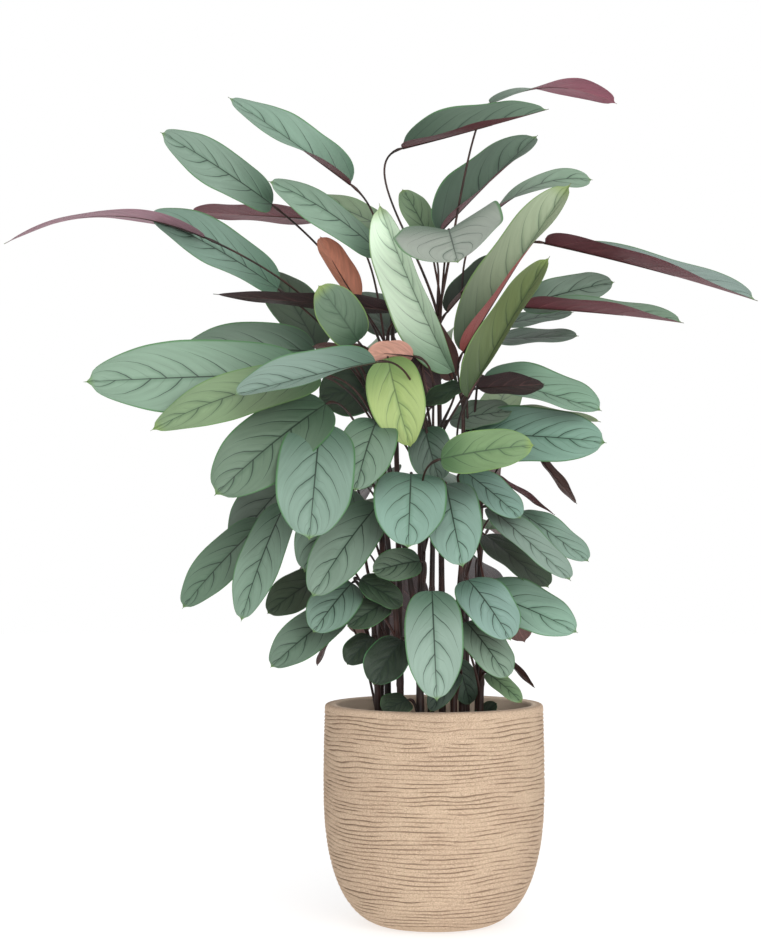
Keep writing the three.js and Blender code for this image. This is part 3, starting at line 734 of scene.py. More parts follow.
@dataclass(frozen=True)
class Blade:
    """The usual blade, in millimetres: outline, thickness, waves, tint and how finely it is divided."""

    droop: float = 0.08
    outwards: float = 0.6
    side_lean: float = 0.3

    # The outline: the body's end and squareness, how it narrows, and the drawn-out point
    body_end: float = 0.97
    square: float = 2.6
    blunt: float = 0.42
    narrow: float = 0.12
    narrow_from: float = 0.7
    point_from: float = 0.9
    point_width: float = 0.17
    hollow: float = 1.2

    # The margin's waves and fine ruffle
    waves: float = 1.7
    wave_lag: float = 0.25
    ruffle: float = 0.006
    ruffle_cells: Pair = (9, 1.2)
    ruffle_step: float = 3.7
    ruffle_noise: int = 11

    middle_thick: float = 0.9
    margin_thick: float = 0.3
    thinning: float = 0.7

    # The rings along, which crowd towards both ends, and the points across, which crowd towards the margins
    rows: int = 46
    halves: int = 8
    first: float = 0.004
    last: float = 0.999
    crowding: float = 0.35
    evenness: float = 0.2

    # How much the tint varies between leaves, and the painted shade that darkens it near the planter's axis
    variety: float = 0.07
    inner_painted_shade: float = 0.68
    painted_shade_reach: Pair = (50, 170)

    vein_pitch: float = 37
    vein_range: Pair = (4, 7)
    vein_slant: float = 0.75
    vein_bow: Pair = (0.5, 0.55)

    # The midrib's ridge under the blade
    rib_radius: float = 1.2
    rib_start: float = -0.004
    rib_end: float = 0.62
    rib_taper: float = 0.72
    rib_sink: Pair = (0.2, 0.55)
    rib_steps: int = 16
    rib_sides: int = 6

    def outline(self, t: Array) -> Array:
        """Give the half width's share at t.

        It is an oblong body, (1 - |2 t / e - 1|^2.6)^0.42, or the drawn-out point where that is wider.

        Args:
            t: Shares along.

        Returns:
            Shares of the half width, as many as t.
        """
        body = np.clip(1 - np.abs(2 * t / self.body_end - 1) ** self.square, 0, None) ** self.blunt
        body = np.where(t < self.body_end, body, 0)
        body = body * (1 - self.narrow * smooth_step(self.narrow_from, self.body_end, t))
        left = np.clip((1 - t) / (1 - self.point_from), 0, None)
        point = np.where(t > self.point_from, self.point_width * left**self.hollow, 0)
        return np.maximum(body, point)

    def vein_count(self, length: float) -> float:
        """Give how many side veins a blade of this length has on one side."""
        return float(np.clip(round(length / self.vein_pitch), *self.vein_range))

    def vein_phase(self, placed: Placed, t: Array, v: Array) -> Array:
        """Give how many side veins lie between the heel and a place.

        A vein leaves the midrib at 40 degrees and bows towards the tip, so that the place's t less
        (wide / length) (0.5 |v| + 0.55 |v|^3) stays the same along it.

        Args:
            placed: The leaf.
            t: Shares along.
            v: Shares across, -1 to 1.

        Returns:
            The number, whole on a vein's line.
        """
        leaf = placed.leaf
        straight, bowed = self.vein_bow
        shift = leaf.wide / placed.length * (straight * np.abs(v) + bowed * np.abs(v) ** 3)
        return (t - shift) * self.vein_count(placed.length)

    def surface(self, placed: Placed, t: Array, v: Array, seed: int) -> tuple[Array, Array]:
        """Give the middle sheet of a blade and its upper side's direction.

        The place is spine + side s + face h. Each half starts at the fold's angle and curls along an arc of
        length |v| times the half width. Waves grow with v squared, sin(2 pi (1.7 t + v / 4)), and a fine
        ruffle follows the margin.

        Args:
            placed: The leaf.
            t: Shares along.
            v: Shares across, -1 to 1.
            seed: Which ruffle.

        Returns:
            The points and the upper side's direction.
        """
        leaf = placed.leaf
        _, face, side = placed.axes(t)
        bounds = self.outline(t)
        reach = leaf.wide / 2 * bounds * (1 - leaf.taper * t**3)
        start = np.radians(leaf.fold[0] + (leaf.fold[1] - leaf.fold[0]) * t)
        swing = np.radians(leaf.curl) * np.abs(v) + 1e-6
        arc = reach * np.abs(v) / swing
        sideways = arc * (np.sin(start + swing) - np.sin(start)) * np.sign(v)
        rise = arc * (np.cos(start) - np.cos(start + swing))
        wave = leaf.wave * leaf.wide * v * v * np.sin(2 * np.pi * (self.waves * t + self.wave_lag * v))
        along, across = self.ruffle_cells
        number = np.zeros_like(t) + seed
        cells = np.stack([t * along, v * across + number * self.ruffle_step, number], -1).reshape(-1, 3)
        noise = lattice_noise(cells, 1.0, self.ruffle_noise).reshape(t.shape)
        ruffle = noise * self.ruffle * leaf.wide * v * v
        lift = (rise + (wave + ruffle) * bounds)[..., None]
        return placed.spine(t) + side * sideways[..., None] + face * lift, face

    def grid(self) -> tuple[Array, Array]:
        """Give the shares along, t, and across, v, of the blade's points.

        Returns:
            Two arrays, (rows, points across).
        """
        even = np.linspace(0, 1, self.rows)
        share = self.crowding * (1 - np.cos(np.pi * even)) / 2 + (1 - self.crowding) * even
        line = np.linspace(-1, 1, 2 * self.halves + 1)
        across = self.evenness * line + (1 - self.evenness) * np.sin(np.pi / 2 * line)
        t, v = np.meshgrid(self.first + (self.last - self.first) * share, across, indexing="ij")
        return t, v

    def tint(self, tone: Tone, points: Array, seed: int) -> Array:
        """Give the upper side's colour at points: the tone, varied a little, and painted shade that darkens
        it deep in the plant.

        Args:
            tone: The leaf's tone.
            points: Points, (n, 3).
            seed: Which variation.

        Returns:
            Linear colours, (n, 3).
        """
        red, green, blue, _ = tone.value
        varied = 1 + self.variety * np.random.default_rng(seed).uniform(-1, 1, 3)
        # Painted shade: the colour darkens towards the planter's axis, deep in the foliage
        out = smooth_step(*self.painted_shade_reach, np.hypot(points[:, 0], points[:, 1]))
        inner = self.inner_painted_shade + (1 - self.inner_painted_shade) * out
        return linear(red, green, blue) * varied * inner[:, None]

    def patch(self, placed: Placed, seed: int, slots: tuple[int, int]) -> Patch:
        """Make the blade: an upper and a lower sheet that meet along the margin.

        Both sheets are the middle sheet, lifted and lowered by half the thickness. It falls from the midrib
        to nothing at the margin, so that they share their edge there.

        Args:
            placed: The leaf.
            seed: The leaf's number.
            slots: The material slots of the upper side and the underside.

        Returns:
            The blade, whose `where` is v, t and the vein phase.
        """
        t, v = self.grid()
        margin = t.shape[1] - 1
        middle, face = self.surface(placed, t, v, seed)
        half = (self.middle_thick - (self.middle_thick - self.margin_thick) * np.abs(v) ** self.thinning) / 2
        half[:, [0, margin]] = 0
        lift = face * half[..., None]
        inner = slice(1, margin)
        sheets = np.concatenate([middle + lift, (middle - lift)[:, inner][:, ::-1]], axis=1)
        across = np.concatenate([v, v[:, inner][:, ::-1]], axis=1)
        along = np.concatenate([t, t[:, inner][:, ::-1]], axis=1)
        sides = sheets.shape[1]
        column = np.arange(sides)
        ends = placed.spine(np.array([0.0, 1.0]))
        points = np.concatenate([sheets.reshape(-1, 3), ends])
        veins = self.vein_count(placed.length)
        where = np.stack([across, along, self.vein_phase(placed, along, across)], -1).reshape(-1, 3)
        where = np.concatenate([where, [[0, 0, 0], [0, 1, veins]]])
        crease = np.full(sheets.shape[:2], -1)
        crease[:, 0] = 0
        crease[:, margin] = 1
        leaf = placed.leaf
        count = len(points)
        gap = placed.length / veins * self.vein_slant
        return Patch(
            points,
            ring_faces(self.rows, sides),
            end_fans(self.rows, sides),
            np.where(np.tile(column, self.rows - 1) < margin, *slots),
            np.where(np.tile(column, 2) < margin, *slots),
            where,
            self.tint(leaf.tone, points, seed),
            np.tile(linear(*leaf.under.value), (count, 1)),
            np.tile([seed, leaf.tone.value[-1], 0.0], (count, 1)),
            np.tile([leaf.wide / 2, gap, 0.0], (count, 1)),
            np.concatenate([crease.ravel(), [-1, -1]]),
        )

    def rib(self, placed: Placed, slot: int) -> Patch:
        """Make the midrib's ridge on the underside, a tube that sinks into the blade at `rib_end`.

        Args:
            placed: The leaf.
            slot: The material slot.

        Returns:
            The ridge.
        """
        t = np.linspace(self.rib_start, self.rib_end, self.rib_steps)
        _, face, side = placed.axes(t)
        radius = self.rib_radius * (1 - self.rib_taper * np.clip(t / self.rib_end, 0, 1))
        least, share = self.rib_sink
        path = placed.spine(t) - face * (least + share * radius)[:, None]
        return tube(path, radius, side[0], self.rib_sides, slot)


@dataclass(frozen=True)
class Stalk:
    """A leaf's stalk, in millimetres: sheath at the cane, thin length, swollen joint under the blade.

    It leaves its cane `drop` below the heel, and more by `slope` of the heel's distance from the cane.
    `flare` and `rise` set how it leaves, and the joint's place and spread are shares of the joint's length.
    """

    drop: float = 45
    slope: float = 0.9
    flare: float = 0.25
    rise: float = 0.4
    root: float = 2.3
    middle: float = 1.4
    joint: float = 2.2
    joint_length: float = 18
    joint_place: float = 0.55
    joint_spread: float = 0.42
    heel: float = 1.2
    heel_length: float = 8
    sides: int = 8
    steps: int = 30

    def path(self, placed: Placed, cane: "Cane") -> Array:
        """Give the stalk's axis: a cubic Bezier curve that leaves the cane rising and ends along the blade.

        It is (1 - s)^3 root + 3 s (1 - s)^2 first + 3 s^2 (1 - s) second + s^3 heel.

        Args:
            placed: The leaf.
            cane: Its cane.

        Returns:
            Points from the cane to the heel, (steps, 3).
        """
        heel, leaf = placed.heel, placed.leaf
        aside = math.dist(heel[:2], cane.at(heel[2])[:2])
        root = cane.at(heel[2] - self.slope * aside - self.drop if leaf.start is None else leaf.start)
        reach = np.linalg.norm(heel - root)
        rise = unit((heel - root) * [1, 1, 0]) * self.flare + UP
        along = placed.axes(np.array([0.0]))[0][0]
        s = np.linspace(0, 1, self.steps)[:, None]
        curve = [root, root + rise * self.rise * reach, heel - along * leaf.lead * reach, heel]
        weights = [(1 - s) ** 3, 3 * s * (1 - s) ** 2, 3 * s * s * (1 - s), s**3]
        return sum(weight * point for weight, point in zip(weights, curve))

    def patch(self, placed: Placed, cane: "Cane", slot: int) -> Patch:
        """Make the stalk: a tube that is thick at the cane and swells once, by exp(-x^2), below the blade.

        Args:
            placed: The leaf.
            cane: Its cane.
            slot: The material slot.

        Returns:
            The stalk.
        """
        path = self.path(placed, cane)
        reach = np.linalg.norm(path[-1] - path[0])
        s = np.linspace(0, 1, self.steps)
        to_heel = reach * (1 - s)
        joint = (to_heel - self.joint_length * self.joint_place) / (self.joint_length * self.joint_spread)
        radius = self.middle + (self.root - self.middle) * (1 - s) ** 3
        radius = radius + (self.joint - self.middle) * np.exp(-(joint**2))
        radius = radius + (self.heel - self.middle) * smooth_step(self.heel_length, 0, to_heel)
        side = placed.axes(np.array([0.0]))[2][0]
        return tube(path, radius, side, self.sides, slot)


@dataclass(frozen=True)
class Cane:
    """An upright cane, in millimetres, along a quadratic Bezier curve from the soil to its top.

    A ring swells it at every `node_pitch`, from the first on.
    """

    foot: Pair
    top: Point
    soil_top: float = 264
    root_top: float = 197
    radius: float = 5
    top_radius: float = 2.6
    knee: float = 0.45
    sides: int = 16
    steps: int = 72
    measures: int = 400
    node_pitch: float = 62
    node_length: float = 3.2
    node_swell: float = 0.16
    first_node: float = 0.4

    def curve(self, s: Array) -> Array:
        """Give the axis at shares s of its length: (1 - s)^2 foot + 2 s (1 - s) knee + s^2 top.

        Args:
            s: Shares of the length.

        Returns:
            Points, with the shape of s and one axis more.
        """
        foot = np.array([*self.foot, self.soil_top])
        top = np.array(self.top, float)
        knee = np.array([*self.foot, self.soil_top + self.knee * (top[2] - self.soil_top)])
        s = np.asarray(s, float)[..., None]
        return (1 - s) ** 2 * foot + 2 * s * (1 - s) * knee + s * s * top

    def at(self, height: float) -> Array:
        """Give the axis at a height."""
        s = np.linspace(0, 1, self.measures)
        return self.curve(np.interp(height, self.curve(s)[:, 2], s))

    def patch(self, slot: int) -> Patch:
        """Make the cane with its swollen, ringed nodes and the root end in the soil.

        Args:
            slot: The material slot.

        Returns:
            The cane.
        """
        s = np.linspace(0, 1, self.steps)
        path = self.curve(s)
        radius = self.radius + (self.top_radius - self.radius) * s
        rise = (path[:, 2] - self.soil_top) / self.node_pitch
        ring = np.exp(-(((rise - np.round(rise)) * self.node_pitch / self.node_length) ** 2))
        radius = radius * (1 + self.node_swell * ring * (rise > self.first_node))
        path = np.concatenate([[[*self.foot, self.root_top]], path])
        radius = np.concatenate([[self.radius], radius])
        return tube(path, radius, np.array([1.0, 0, 0]), self.sides, slot)


class LeafSlot(Enum):
    """The materials of a shoot, in their order."""

    UPPER = 0
    UNDER = 1
    STALK = 2


class Plant:
    """The shoots of the plant."""

    def __init__(self) -> None:
        """Keep what every shoot is made with."""
        self.materials = LeafFinishes().materials()
        self.blade = Blade()
        self.stalk = Stalk()
        self.rule = BackRule()
        self.seed = 0

    def shoot(self, name: str, cane: Cane, leaves: list[Placed]) -> bpy.types.Object:
        """Make one shoot's piece from its cane and its placed leaves.

        Args:
            name: The part's node that it stands for.
            cane: Its cane.
            leaves: Its leaves.

        Returns:
            The piece.
        """
        patches = [cane.patch(LeafSlot.STALK.value)]
        for placed in leaves:
            self.seed += 1
            slots = (LeafSlot.UPPER.value, LeafSlot.UNDER.value)
            patches.append(self.blade.patch(placed, self.seed, slots))
            patches.append(self.blade.rib(placed, LeafSlot.STALK.value))
            patches.append(self.stalk.patch(placed, cane, LeafSlot.STALK.value))
        piece = piece_from(name.replace("shoot", "leaves"), patches, self.materials)
        return dress(piece, name)

    def back_leaves(self, shoot: BackShoot, cane: Cane, draws: Draws) -> Iterator[Placed]:
        """Give a back shoot's leaves, from the lowest up.

        Args:
            shoot: Where the leaves lie.
            cane: Their cane.
            draws: The random numbers.

        Returns:
            The leaves, one after another.
        """
        rule = self.rule
        for i in range(shoot.count):
            share = (i + 0.5) / shoot.count
            turn = (i * rule.golden_share + draws.between(0, rule.stray)) % 1
            bearing = math.radians(within(shoot.sector, turn))
            tilt = math.radians(within(rule.tilt, share) + draws.between(-1, 1) * rule.tilt_spread)
            length = draws.between(*rule.length)
            height = within(shoot.heights, share)
            away = np.array([math.cos(bearing), math.sin(bearing), 0])
            start = height - rule.stalk_rise
            root = cane.at(start)
            heel = np.array([root[0], root[1], height]) + away * draws.between(*rule.stalk)
            tip = heel + away * length * math.cos(tilt) + UP * length * math.sin(tilt)
            leaf = Leaf(
                (), (), (), rule.wide_share * length, rule.tones[i % len(rule.tones)],
                roll=draws.between(*rule.roll), start=start, under=rule.unders[i % len(rule.unders)],
            )
            yield Placed.of(leaf, heel, tip)

    def grow(self) -> None:
        """Make all the shoots."""
        for row in SHOOTS:
            leaves = [self.placed(leaf) for leaf in row.leaves]
            report(self.shoot(row.name, Cane(row.foot, row.top), leaves))
        draws = Draws(self.rule.seed)
        for back in BACK_SHOOTS:
            cane = Cane(back.foot, back.top)
            report(self.shoot(back.name, cane, list(self.back_leaves(back, cane, draws))))

    @staticmethod
    def placed(leaf: Leaf) -> Placed:
        """Place a leaf whose ends are pixels of the picture."""
        return Placed.of(leaf, VIEW.seen(leaf.heel, leaf.out[0]), VIEW.seen(leaf.tip, leaf.out[1]))


def dress(piece: bpy.types.Object, node: str) -> bpy.types.Object:
    """Hang a piece on the root body and hide the part's node that it stands for.

    Args:
        piece: The piece.
        node: The part's node.

    Returns:
        The same piece.
    """
    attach(piece, "root")
    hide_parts(node)
    return piece


def report(piece: bpy.types.Object) -> None:
    """Log a finished piece."""
    LOG.info("%s: %d faces", piece.name, len(piece.data.polygons))


class Graph:
    """A node tree while it is built."""

    def __init__(self, tree: bpy.types.NodeTree) -> None:
        """Work on a tree, from empty."""
        self.tree = tree
        tree.nodes.clear()

    def node(self, kind: str, **settings: object) -> bpy.types.Node:
        """Add a node with settings.

        Args:
            kind: The node's type.
            settings: Its properties.

        Returns:
            The node.
        """
        node = self.tree.nodes.new(kind)
        for name, value in settings.items():
            setattr(node, name, value)
        return node

    def feed(self, socket: bpy.types.NodeSocket, value: object) -> None:
        """Link a socket to another, or set its value.

        Args:
            socket: An input.
            value: An output, a colour or a number.
        """
        if isinstance(value, bpy.types.NodeSocket):
            self.tree.links.new(value, socket)
        elif isinstance(value, tuple) and len(value) == 3 and socket.type == "RGBA":
            socket.default_value = (*value, 1)
        else:
            socket.default_value = value

    def math(self, operation: str, *values: object) -> bpy.types.NodeSocket:
        """Add a maths node.

        Args:
            operation: The node's operation.
            values: What its inputs take, outputs or numbers.

        Returns:
            The result.
        """
        node = self.node("ShaderNodeMath", operation=operation)
        for socket, value in zip(node.inputs, values):
            self.feed(socket, value)
        return node.outputs[0]

    def step(self, low: object, high: object, x: object, start: object = 0.0, end: object = 1.0) -> object:
        """Rise smoothly from start to end as x goes from low to high.

        Args:
            low: Where the rise begins.
            high: Where it ends.
            x: What is looked at.
            start: The value up to low.
            end: The value from high on.

        Returns:
            The result.
        """
        node = self.node("ShaderNodeMapRange", interpolation_type="SMOOTHSTEP")
        ends = {"Value": x, "From Min": low, "From Max": high, "To Min": start, "To Max": end}
        for name, value in ends.items():
            self.feed(node.inputs[name], value)
        return node.outputs[0]

    def mix(self, share: object, first: object, second: object, blend: str = "MIX") -> object:
        """Mix two colours.

        Args:
            share: How much of the second there is.
            first: A colour.
            second: A colour.
            blend: How they blend.

        Returns:
            The colour.
        """
        node = self.node("ShaderNodeMix", data_type="RGBA", blend_type=blend)
        self.feed(node.inputs[0], share)
        self.feed(node.inputs[6], first)
        self.feed(node.inputs[7], second)
        return node.outputs[2]

    def parts(self, vector: bpy.types.NodeSocket) -> tuple[bpy.types.NodeSocket, ...]:
        """Split a vector."""
        node = self.node("ShaderNodeSeparateXYZ")
        self.feed(node.inputs[0], vector)
        return tuple(node.outputs)

    def joined(self, *values: object) -> bpy.types.NodeSocket:
        """Join three values to a vector."""
        node = self.node("ShaderNodeCombineXYZ")
        for socket, value in zip(node.inputs, values):
            self.feed(socket, value)
        return node.outputs[0]

    def attribute(self, name: str) -> bpy.types.NodeSocket:
        """Read one of the mesh's attributes."""
        return self.node("ShaderNodeAttribute", attribute_name=name).outputs["Vector"]

    def place(self) -> bpy.types.NodeSocket:
        """Read the object's own coordinates, in metres."""
        return self.node("ShaderNodeTexCoord").outputs["Object"]

    def noise(self, place: object, scale: float, detail: float = 2, rough: float = 0.5) -> object:
        """Add a noise of `scale` cells a unit.

        Args:
            place: Where, a vector.
            scale: Cells a unit.
            detail: How many finer layers it has.
            rough: How strong the finer layers are.

        Returns:
            A value from 0 to 1.
        """
        node = self.node("ShaderNodeTexNoise")
        self.feed(node.inputs["Vector"], place)
        self.feed(node.inputs["Scale"], scale)
        self.feed(node.inputs["Detail"], float(detail))
        self.feed(node.inputs["Roughness"], rough)
        return node.outputs[0]

    def bump(self, height: object, distance: float, strength: float = 1) -> bpy.types.NodeSocket:
        """Turn a height of `distance` metres into a normal.

        Args:
            height: The height, a value.
            distance: What a height of 1 is, in metres.
            strength: How much of it shows.

        Returns:
            The normal.
        """
        node = self.node("ShaderNodeBump")
        self.feed(node.inputs["Height"], height)
        self.feed(node.inputs["Distance"], distance)
        self.feed(node.inputs["Strength"], strength)
        return node.outputs[0]

    def group(self, tree: bpy.types.NodeTree) -> bpy.types.Node:
        """Use a node group."""
        node = self.node("ShaderNodeGroup")
        node.node_tree = tree
        return node

    def shader(self, **values: object) -> None:
        """Add the Principled shader and the output; a name's underscores stand for spaces."""
        node = self.node("ShaderNodeBsdfPrincipled")
        for name, value in values.items():
            self.feed(node.inputs[name.replace("_", " ")], value)
        output = self.node("ShaderNodeOutputMaterial")
        self.tree.links.new(node.outputs[0], output.inputs[0])


def material_graph(name: str) -> tuple[bpy.types.Material, Graph]:
    """Start a material."""
    material = bpy.data.materials.new(name)
    material.use_nodes = True
    return material, Graph(material.node_tree)


@dataclass(frozen=True)
class VeinPattern:
    """Where a blade's midrib, side veins, margin and tip are, for the finishes of both its sides.

    Widths are in millimetres. Places are shares from the midrib to the margin or from the heel to the tip.
    """

    midrib_heel: float = 0.95
    midrib_tip: float = 0.4
    soft: float = 0.5

    # The side veins: the least share across where they end, and how much that varies
    vein_width: float = 0.62
    vein_reach: Pair = (0.78, 0.2)
    vein_end: float = 0.3
    vein_fade: float = 0.3
    wander: float = 0.3
    wander_cells: Pair = (1.4, 4)

    # The finer veins between them, whose place between two veins wanders about `minor_place`
    minor_width: float = 0.6
    minor_reach: Pair = (0.35, 0.35)
    minor_strength: float = 0.25
    minor_wander: float = 0.5
    minor_place: float = 0.45

    # The shading beside veins and midrib, and how far out it fades
    beside_vein: float = 7
    beside_midrib: float = 8
    shade_fade: Pair = (0.05, 0.8)
    heel_fade: float = 0.5
    stripes: int = 21
    margin: Pair = (0.93, 0.98)
    mottle_cells: Pair = (1.6, 2.5)

    # Where the tip's colour starts and how softly, and how ripeness moves and softens it
    tip_from: float = 0.965
    tip_soft: float = 0.02
    ripe_from: float = 0.1
    ripe_soft: float = 0.11

    def group(self) -> bpy.types.NodeTree:
        """Make the node group.

        Its outputs are masks from 0 to 1: the midrib, the side veins, the shading along both, the margin's
        line, the tip and the heel. With them come fine stripes between the veins, from -1 to 1, a mottling,
        and how ripe the leaf is.

        Returns:
            The node group.
        """
        tree = bpy.data.node_groups.new("vein_pattern", "ShaderNodeTree")
        for name in ("Midrib", "Vein", "Shade", "Stripes", "Margin", "Tip", "Mottle", "Heel", "Ripe"):
            tree.interface.new_socket(name, in_out="OUTPUT", socket_type="NodeSocketFloat")
        graph = Graph(tree)
        out = graph.node("NodeGroupOutput")
        v, t, phase = graph.parts(graph.attribute("where"))
        seed, ripe, _ = graph.parts(graph.attribute("trait"))
        half, step, _ = graph.parts(graph.attribute("span"))
        across = graph.math("ABSOLUTE", v)
        wide_cells, long_cells = self.wander_cells
        loose = graph.joined(
            graph.math("MULTIPLY", v, wide_cells), graph.math("MULTIPLY", t, long_cells), seed
        )
        wander = graph.math("SUBTRACT", graph.noise(loose, 1.0), 0.5)
        aside = graph.math("MULTIPLY", across, half)
        rib = graph.step(0.0, 1.0, t, self.midrib_heel, self.midrib_tip)
        midrib = graph.step(rib, graph.math("ADD", rib, self.soft), aside, 1.0, 0.0)

        # The veins of one half start midway between those of the other
        far_half = graph.math("MULTIPLY", graph.math("GREATER_THAN", v, 0.0), 0.5)
        turns = graph.math("ADD", phase, far_half)
        turns = graph.math("ADD", turns, graph.math("MULTIPLY", wander, self.wander))
        moved = graph.math("MULTIPLY_ADD", wander, self.minor_wander, self.minor_place)
        key = graph.math("ADD", seed, far_half)
        vein = self.line(graph, turns, key, across, step, self.vein_reach, self.vein_width)
        minor = self.line(
            graph, graph.math("ADD", turns, moved), key, across, step,
            self.minor_reach, self.vein_width * self.minor_width,
        )
        vein = graph.math("MAXIMUM", vein, graph.math("MULTIPLY", minor, self.minor_strength))
        apart = graph.math("MULTIPLY", graph.math("PINGPONG", turns, 0.5), step)
        beside = graph.step(0.0, self.beside_vein, apart, 1.0, 0.0)
        shade = graph.math("MULTIPLY", beside, graph.step(*self.shade_fade, across, 1.0, 0.0))
        shade = graph.math("MAXIMUM", shade, graph.step(0.0, self.beside_midrib, aside, 1.0, 0.0))
        stripes = graph.math("SINE", graph.math("MULTIPLY", turns, 2 * math.pi * self.stripes))
        tip_from = graph.math("SUBTRACT", self.tip_from, graph.math("MULTIPLY", ripe, self.ripe_from))
        tip_soft = graph.math("MULTIPLY_ADD", ripe, self.ripe_soft, self.tip_soft)
        wide_cells, long_cells = self.mottle_cells
        mottled = graph.joined(
            graph.math("MULTIPLY", across, wide_cells), graph.math("MULTIPLY", turns, long_cells), seed
        )
        results = {
            "Midrib": midrib,
            "Vein": vein,
            "Shade": shade,
            "Stripes": stripes,
            "Margin": graph.step(*self.margin, across),
            "Tip": graph.step(tip_from, graph.math("ADD", tip_from, tip_soft), t),
            "Mottle": graph.noise(mottled, 1.0, 3.0, 0.6),
            "Ripe": graph.math("MINIMUM", ripe, 1.0),
            "Heel": graph.step(0.0, self.heel_fade, t, 1.0, 0.0),
        }
        for name, value in results.items():
            graph.feed(out.inputs[name], value)
        return tree

    def line(
        self, graph: Graph, turns: object, key: object, across: object, step: object,
        reach: Pair, width: float,
    ) -> bpy.types.NodeSocket:
        """Draw a line wherever `turns` is whole, tapering outwards.

        Args:
            graph: The group's tree.
            turns: How many lines lie between the heel and a place.
            key: What, with the line's number, picks where the line ends.
            across: The share across.
            step: The gap between lines, in millimetres.
            reach: The least share across where a line ends, and how much that varies.
            width: The line's half width at the midrib, in millimetres.

        Returns:
            The mask.
        """
        apart = graph.math("MULTIPLY", graph.math("PINGPONG", turns, 0.5), step)
        wide = graph.step(0.0, 1.0, across, width, width * self.vein_end)
        mask = graph.step(wide, graph.math("ADD", wide, self.soft), apart, 1.0, 0.0)
        pick = graph.node("ShaderNodeTexWhiteNoise", noise_dimensions="2D")
        graph.feed(pick.inputs["Vector"], graph.joined(graph.math("ROUND", turns), key, 0.0))
        least, spread = reach
        end = graph.math("MULTIPLY_ADD", pick.outputs["Value"], spread, least)
        fade = graph.step(graph.math("SUBTRACT", end, self.vein_fade), end, across, 1.0, 0.0)
        return graph.math("MULTIPLY", mask, fade)


@dataclass(frozen=True)
class UpperFinish:
    """The silver side: a pale ground with dark arching veins, a dark thin margin, a yellow-green tip, and a
    darker green towards the heel that is partly the leaf's own and partly painted shade.

    The `_share` fields say how much of each colour covers the ground, and `relief` how high stripes and
    shading stand.
    """

    pattern: bpy.types.NodeTree
    vein: Colour = linear(26, 44, 36)
    # The darker green beside the veins and midrib and towards the heel; at the heel it is partly painted
    # shade
    shade: Colour = linear(120, 164, 136)
    margin: Colour = linear(58, 118, 72)
    ripe_margin: Colour = linear(118, 150, 78)
    tip: Colour = linear(96, 138, 66)
    ripe_tip: Colour = linear(142, 164, 84)
    midrib: Colour = linear(30, 48, 36)
    mottle_from: Pair = (0.3, 0.7)
    mottle: Pair = (0.93, 1.06)
    stripe_share: float = 0.012
    shade_share: float = 0.36
    # How far the heel darkens: partly the leaf's own darker green, partly painted shade
    heel_green_and_painted_shade: float = 0.75
    tip_share: float = 0.85
    margin_share: float = 0.9
    tint_share: float = 0.06
    ripe_fading: float = -0.6
    roughness: Pair = (0.42, 0.5)
    relief: Pair = (0.03, -0.6)
    bump: Pair = (0.0012, 0.9)

    def material(self) -> bpy.types.Material:
        """Make the material.

        Returns:
            The material.
        """
        material, graph = material_graph("leaf_upper_side")
        masks = graph.group(self.pattern).outputs
        ripe = masks["Ripe"]
        tint = graph.attribute("tint")
        mottled = graph.step(*self.mottle_from, masks["Mottle"], *self.mottle)
        striped = graph.math("MULTIPLY_ADD", masks["Stripes"], self.stripe_share, mottled)
        pale = graph.mix(1.0, tint, graph.joined(striped, striped, striped), "MULTIPLY")
        beside = graph.math("MULTIPLY", masks["Shade"], self.shade_share)
        # Towards the heel the ground darkens, partly the leaf's own darker green and partly painted shade
        dim = graph.math("MAXIMUM", beside, graph.math("MULTIPLY", masks["Heel"], self.heel_green_and_painted_shade))
        shaded = graph.mix(dim, pale, graph.mix(1.0, tint, self.shade, "MULTIPLY"))
        at_tip = graph.math("MULTIPLY", masks["Tip"], self.tip_share)
        tipped = graph.mix(at_tip, shaded, graph.mix(ripe, self.tip, self.ripe_tip))
        at_margin = graph.math("MULTIPLY", masks["Margin"], self.margin_share)
        edged = graph.mix(at_margin, tipped, graph.mix(ripe, self.margin, self.ripe_margin))
        dark = graph.mix(self.tint_share, self.vein, tint)
        green = graph.math("MULTIPLY_ADD", ripe, self.ripe_fading, 1.0)
        veined = graph.mix(graph.math("MULTIPLY", masks["Vein"], green), edged, dark)
        colour = graph.mix(graph.math("MULTIPLY", masks["Midrib"], green), veined, self.midrib)
        stripe, hollow = self.relief
        sunk = graph.math("MULTIPLY", masks["Shade"], hollow)
        height = graph.math("MULTIPLY_ADD", masks["Stripes"], stripe, sunk)
        graph.shader(
            Base_Color=colour,
            Roughness=graph.step(*self.mottle_from, masks["Mottle"], *self.roughness),
            Specular_IOR_Level=0.5,
            Normal=graph.bump(height, *self.bump),
        )
        return material


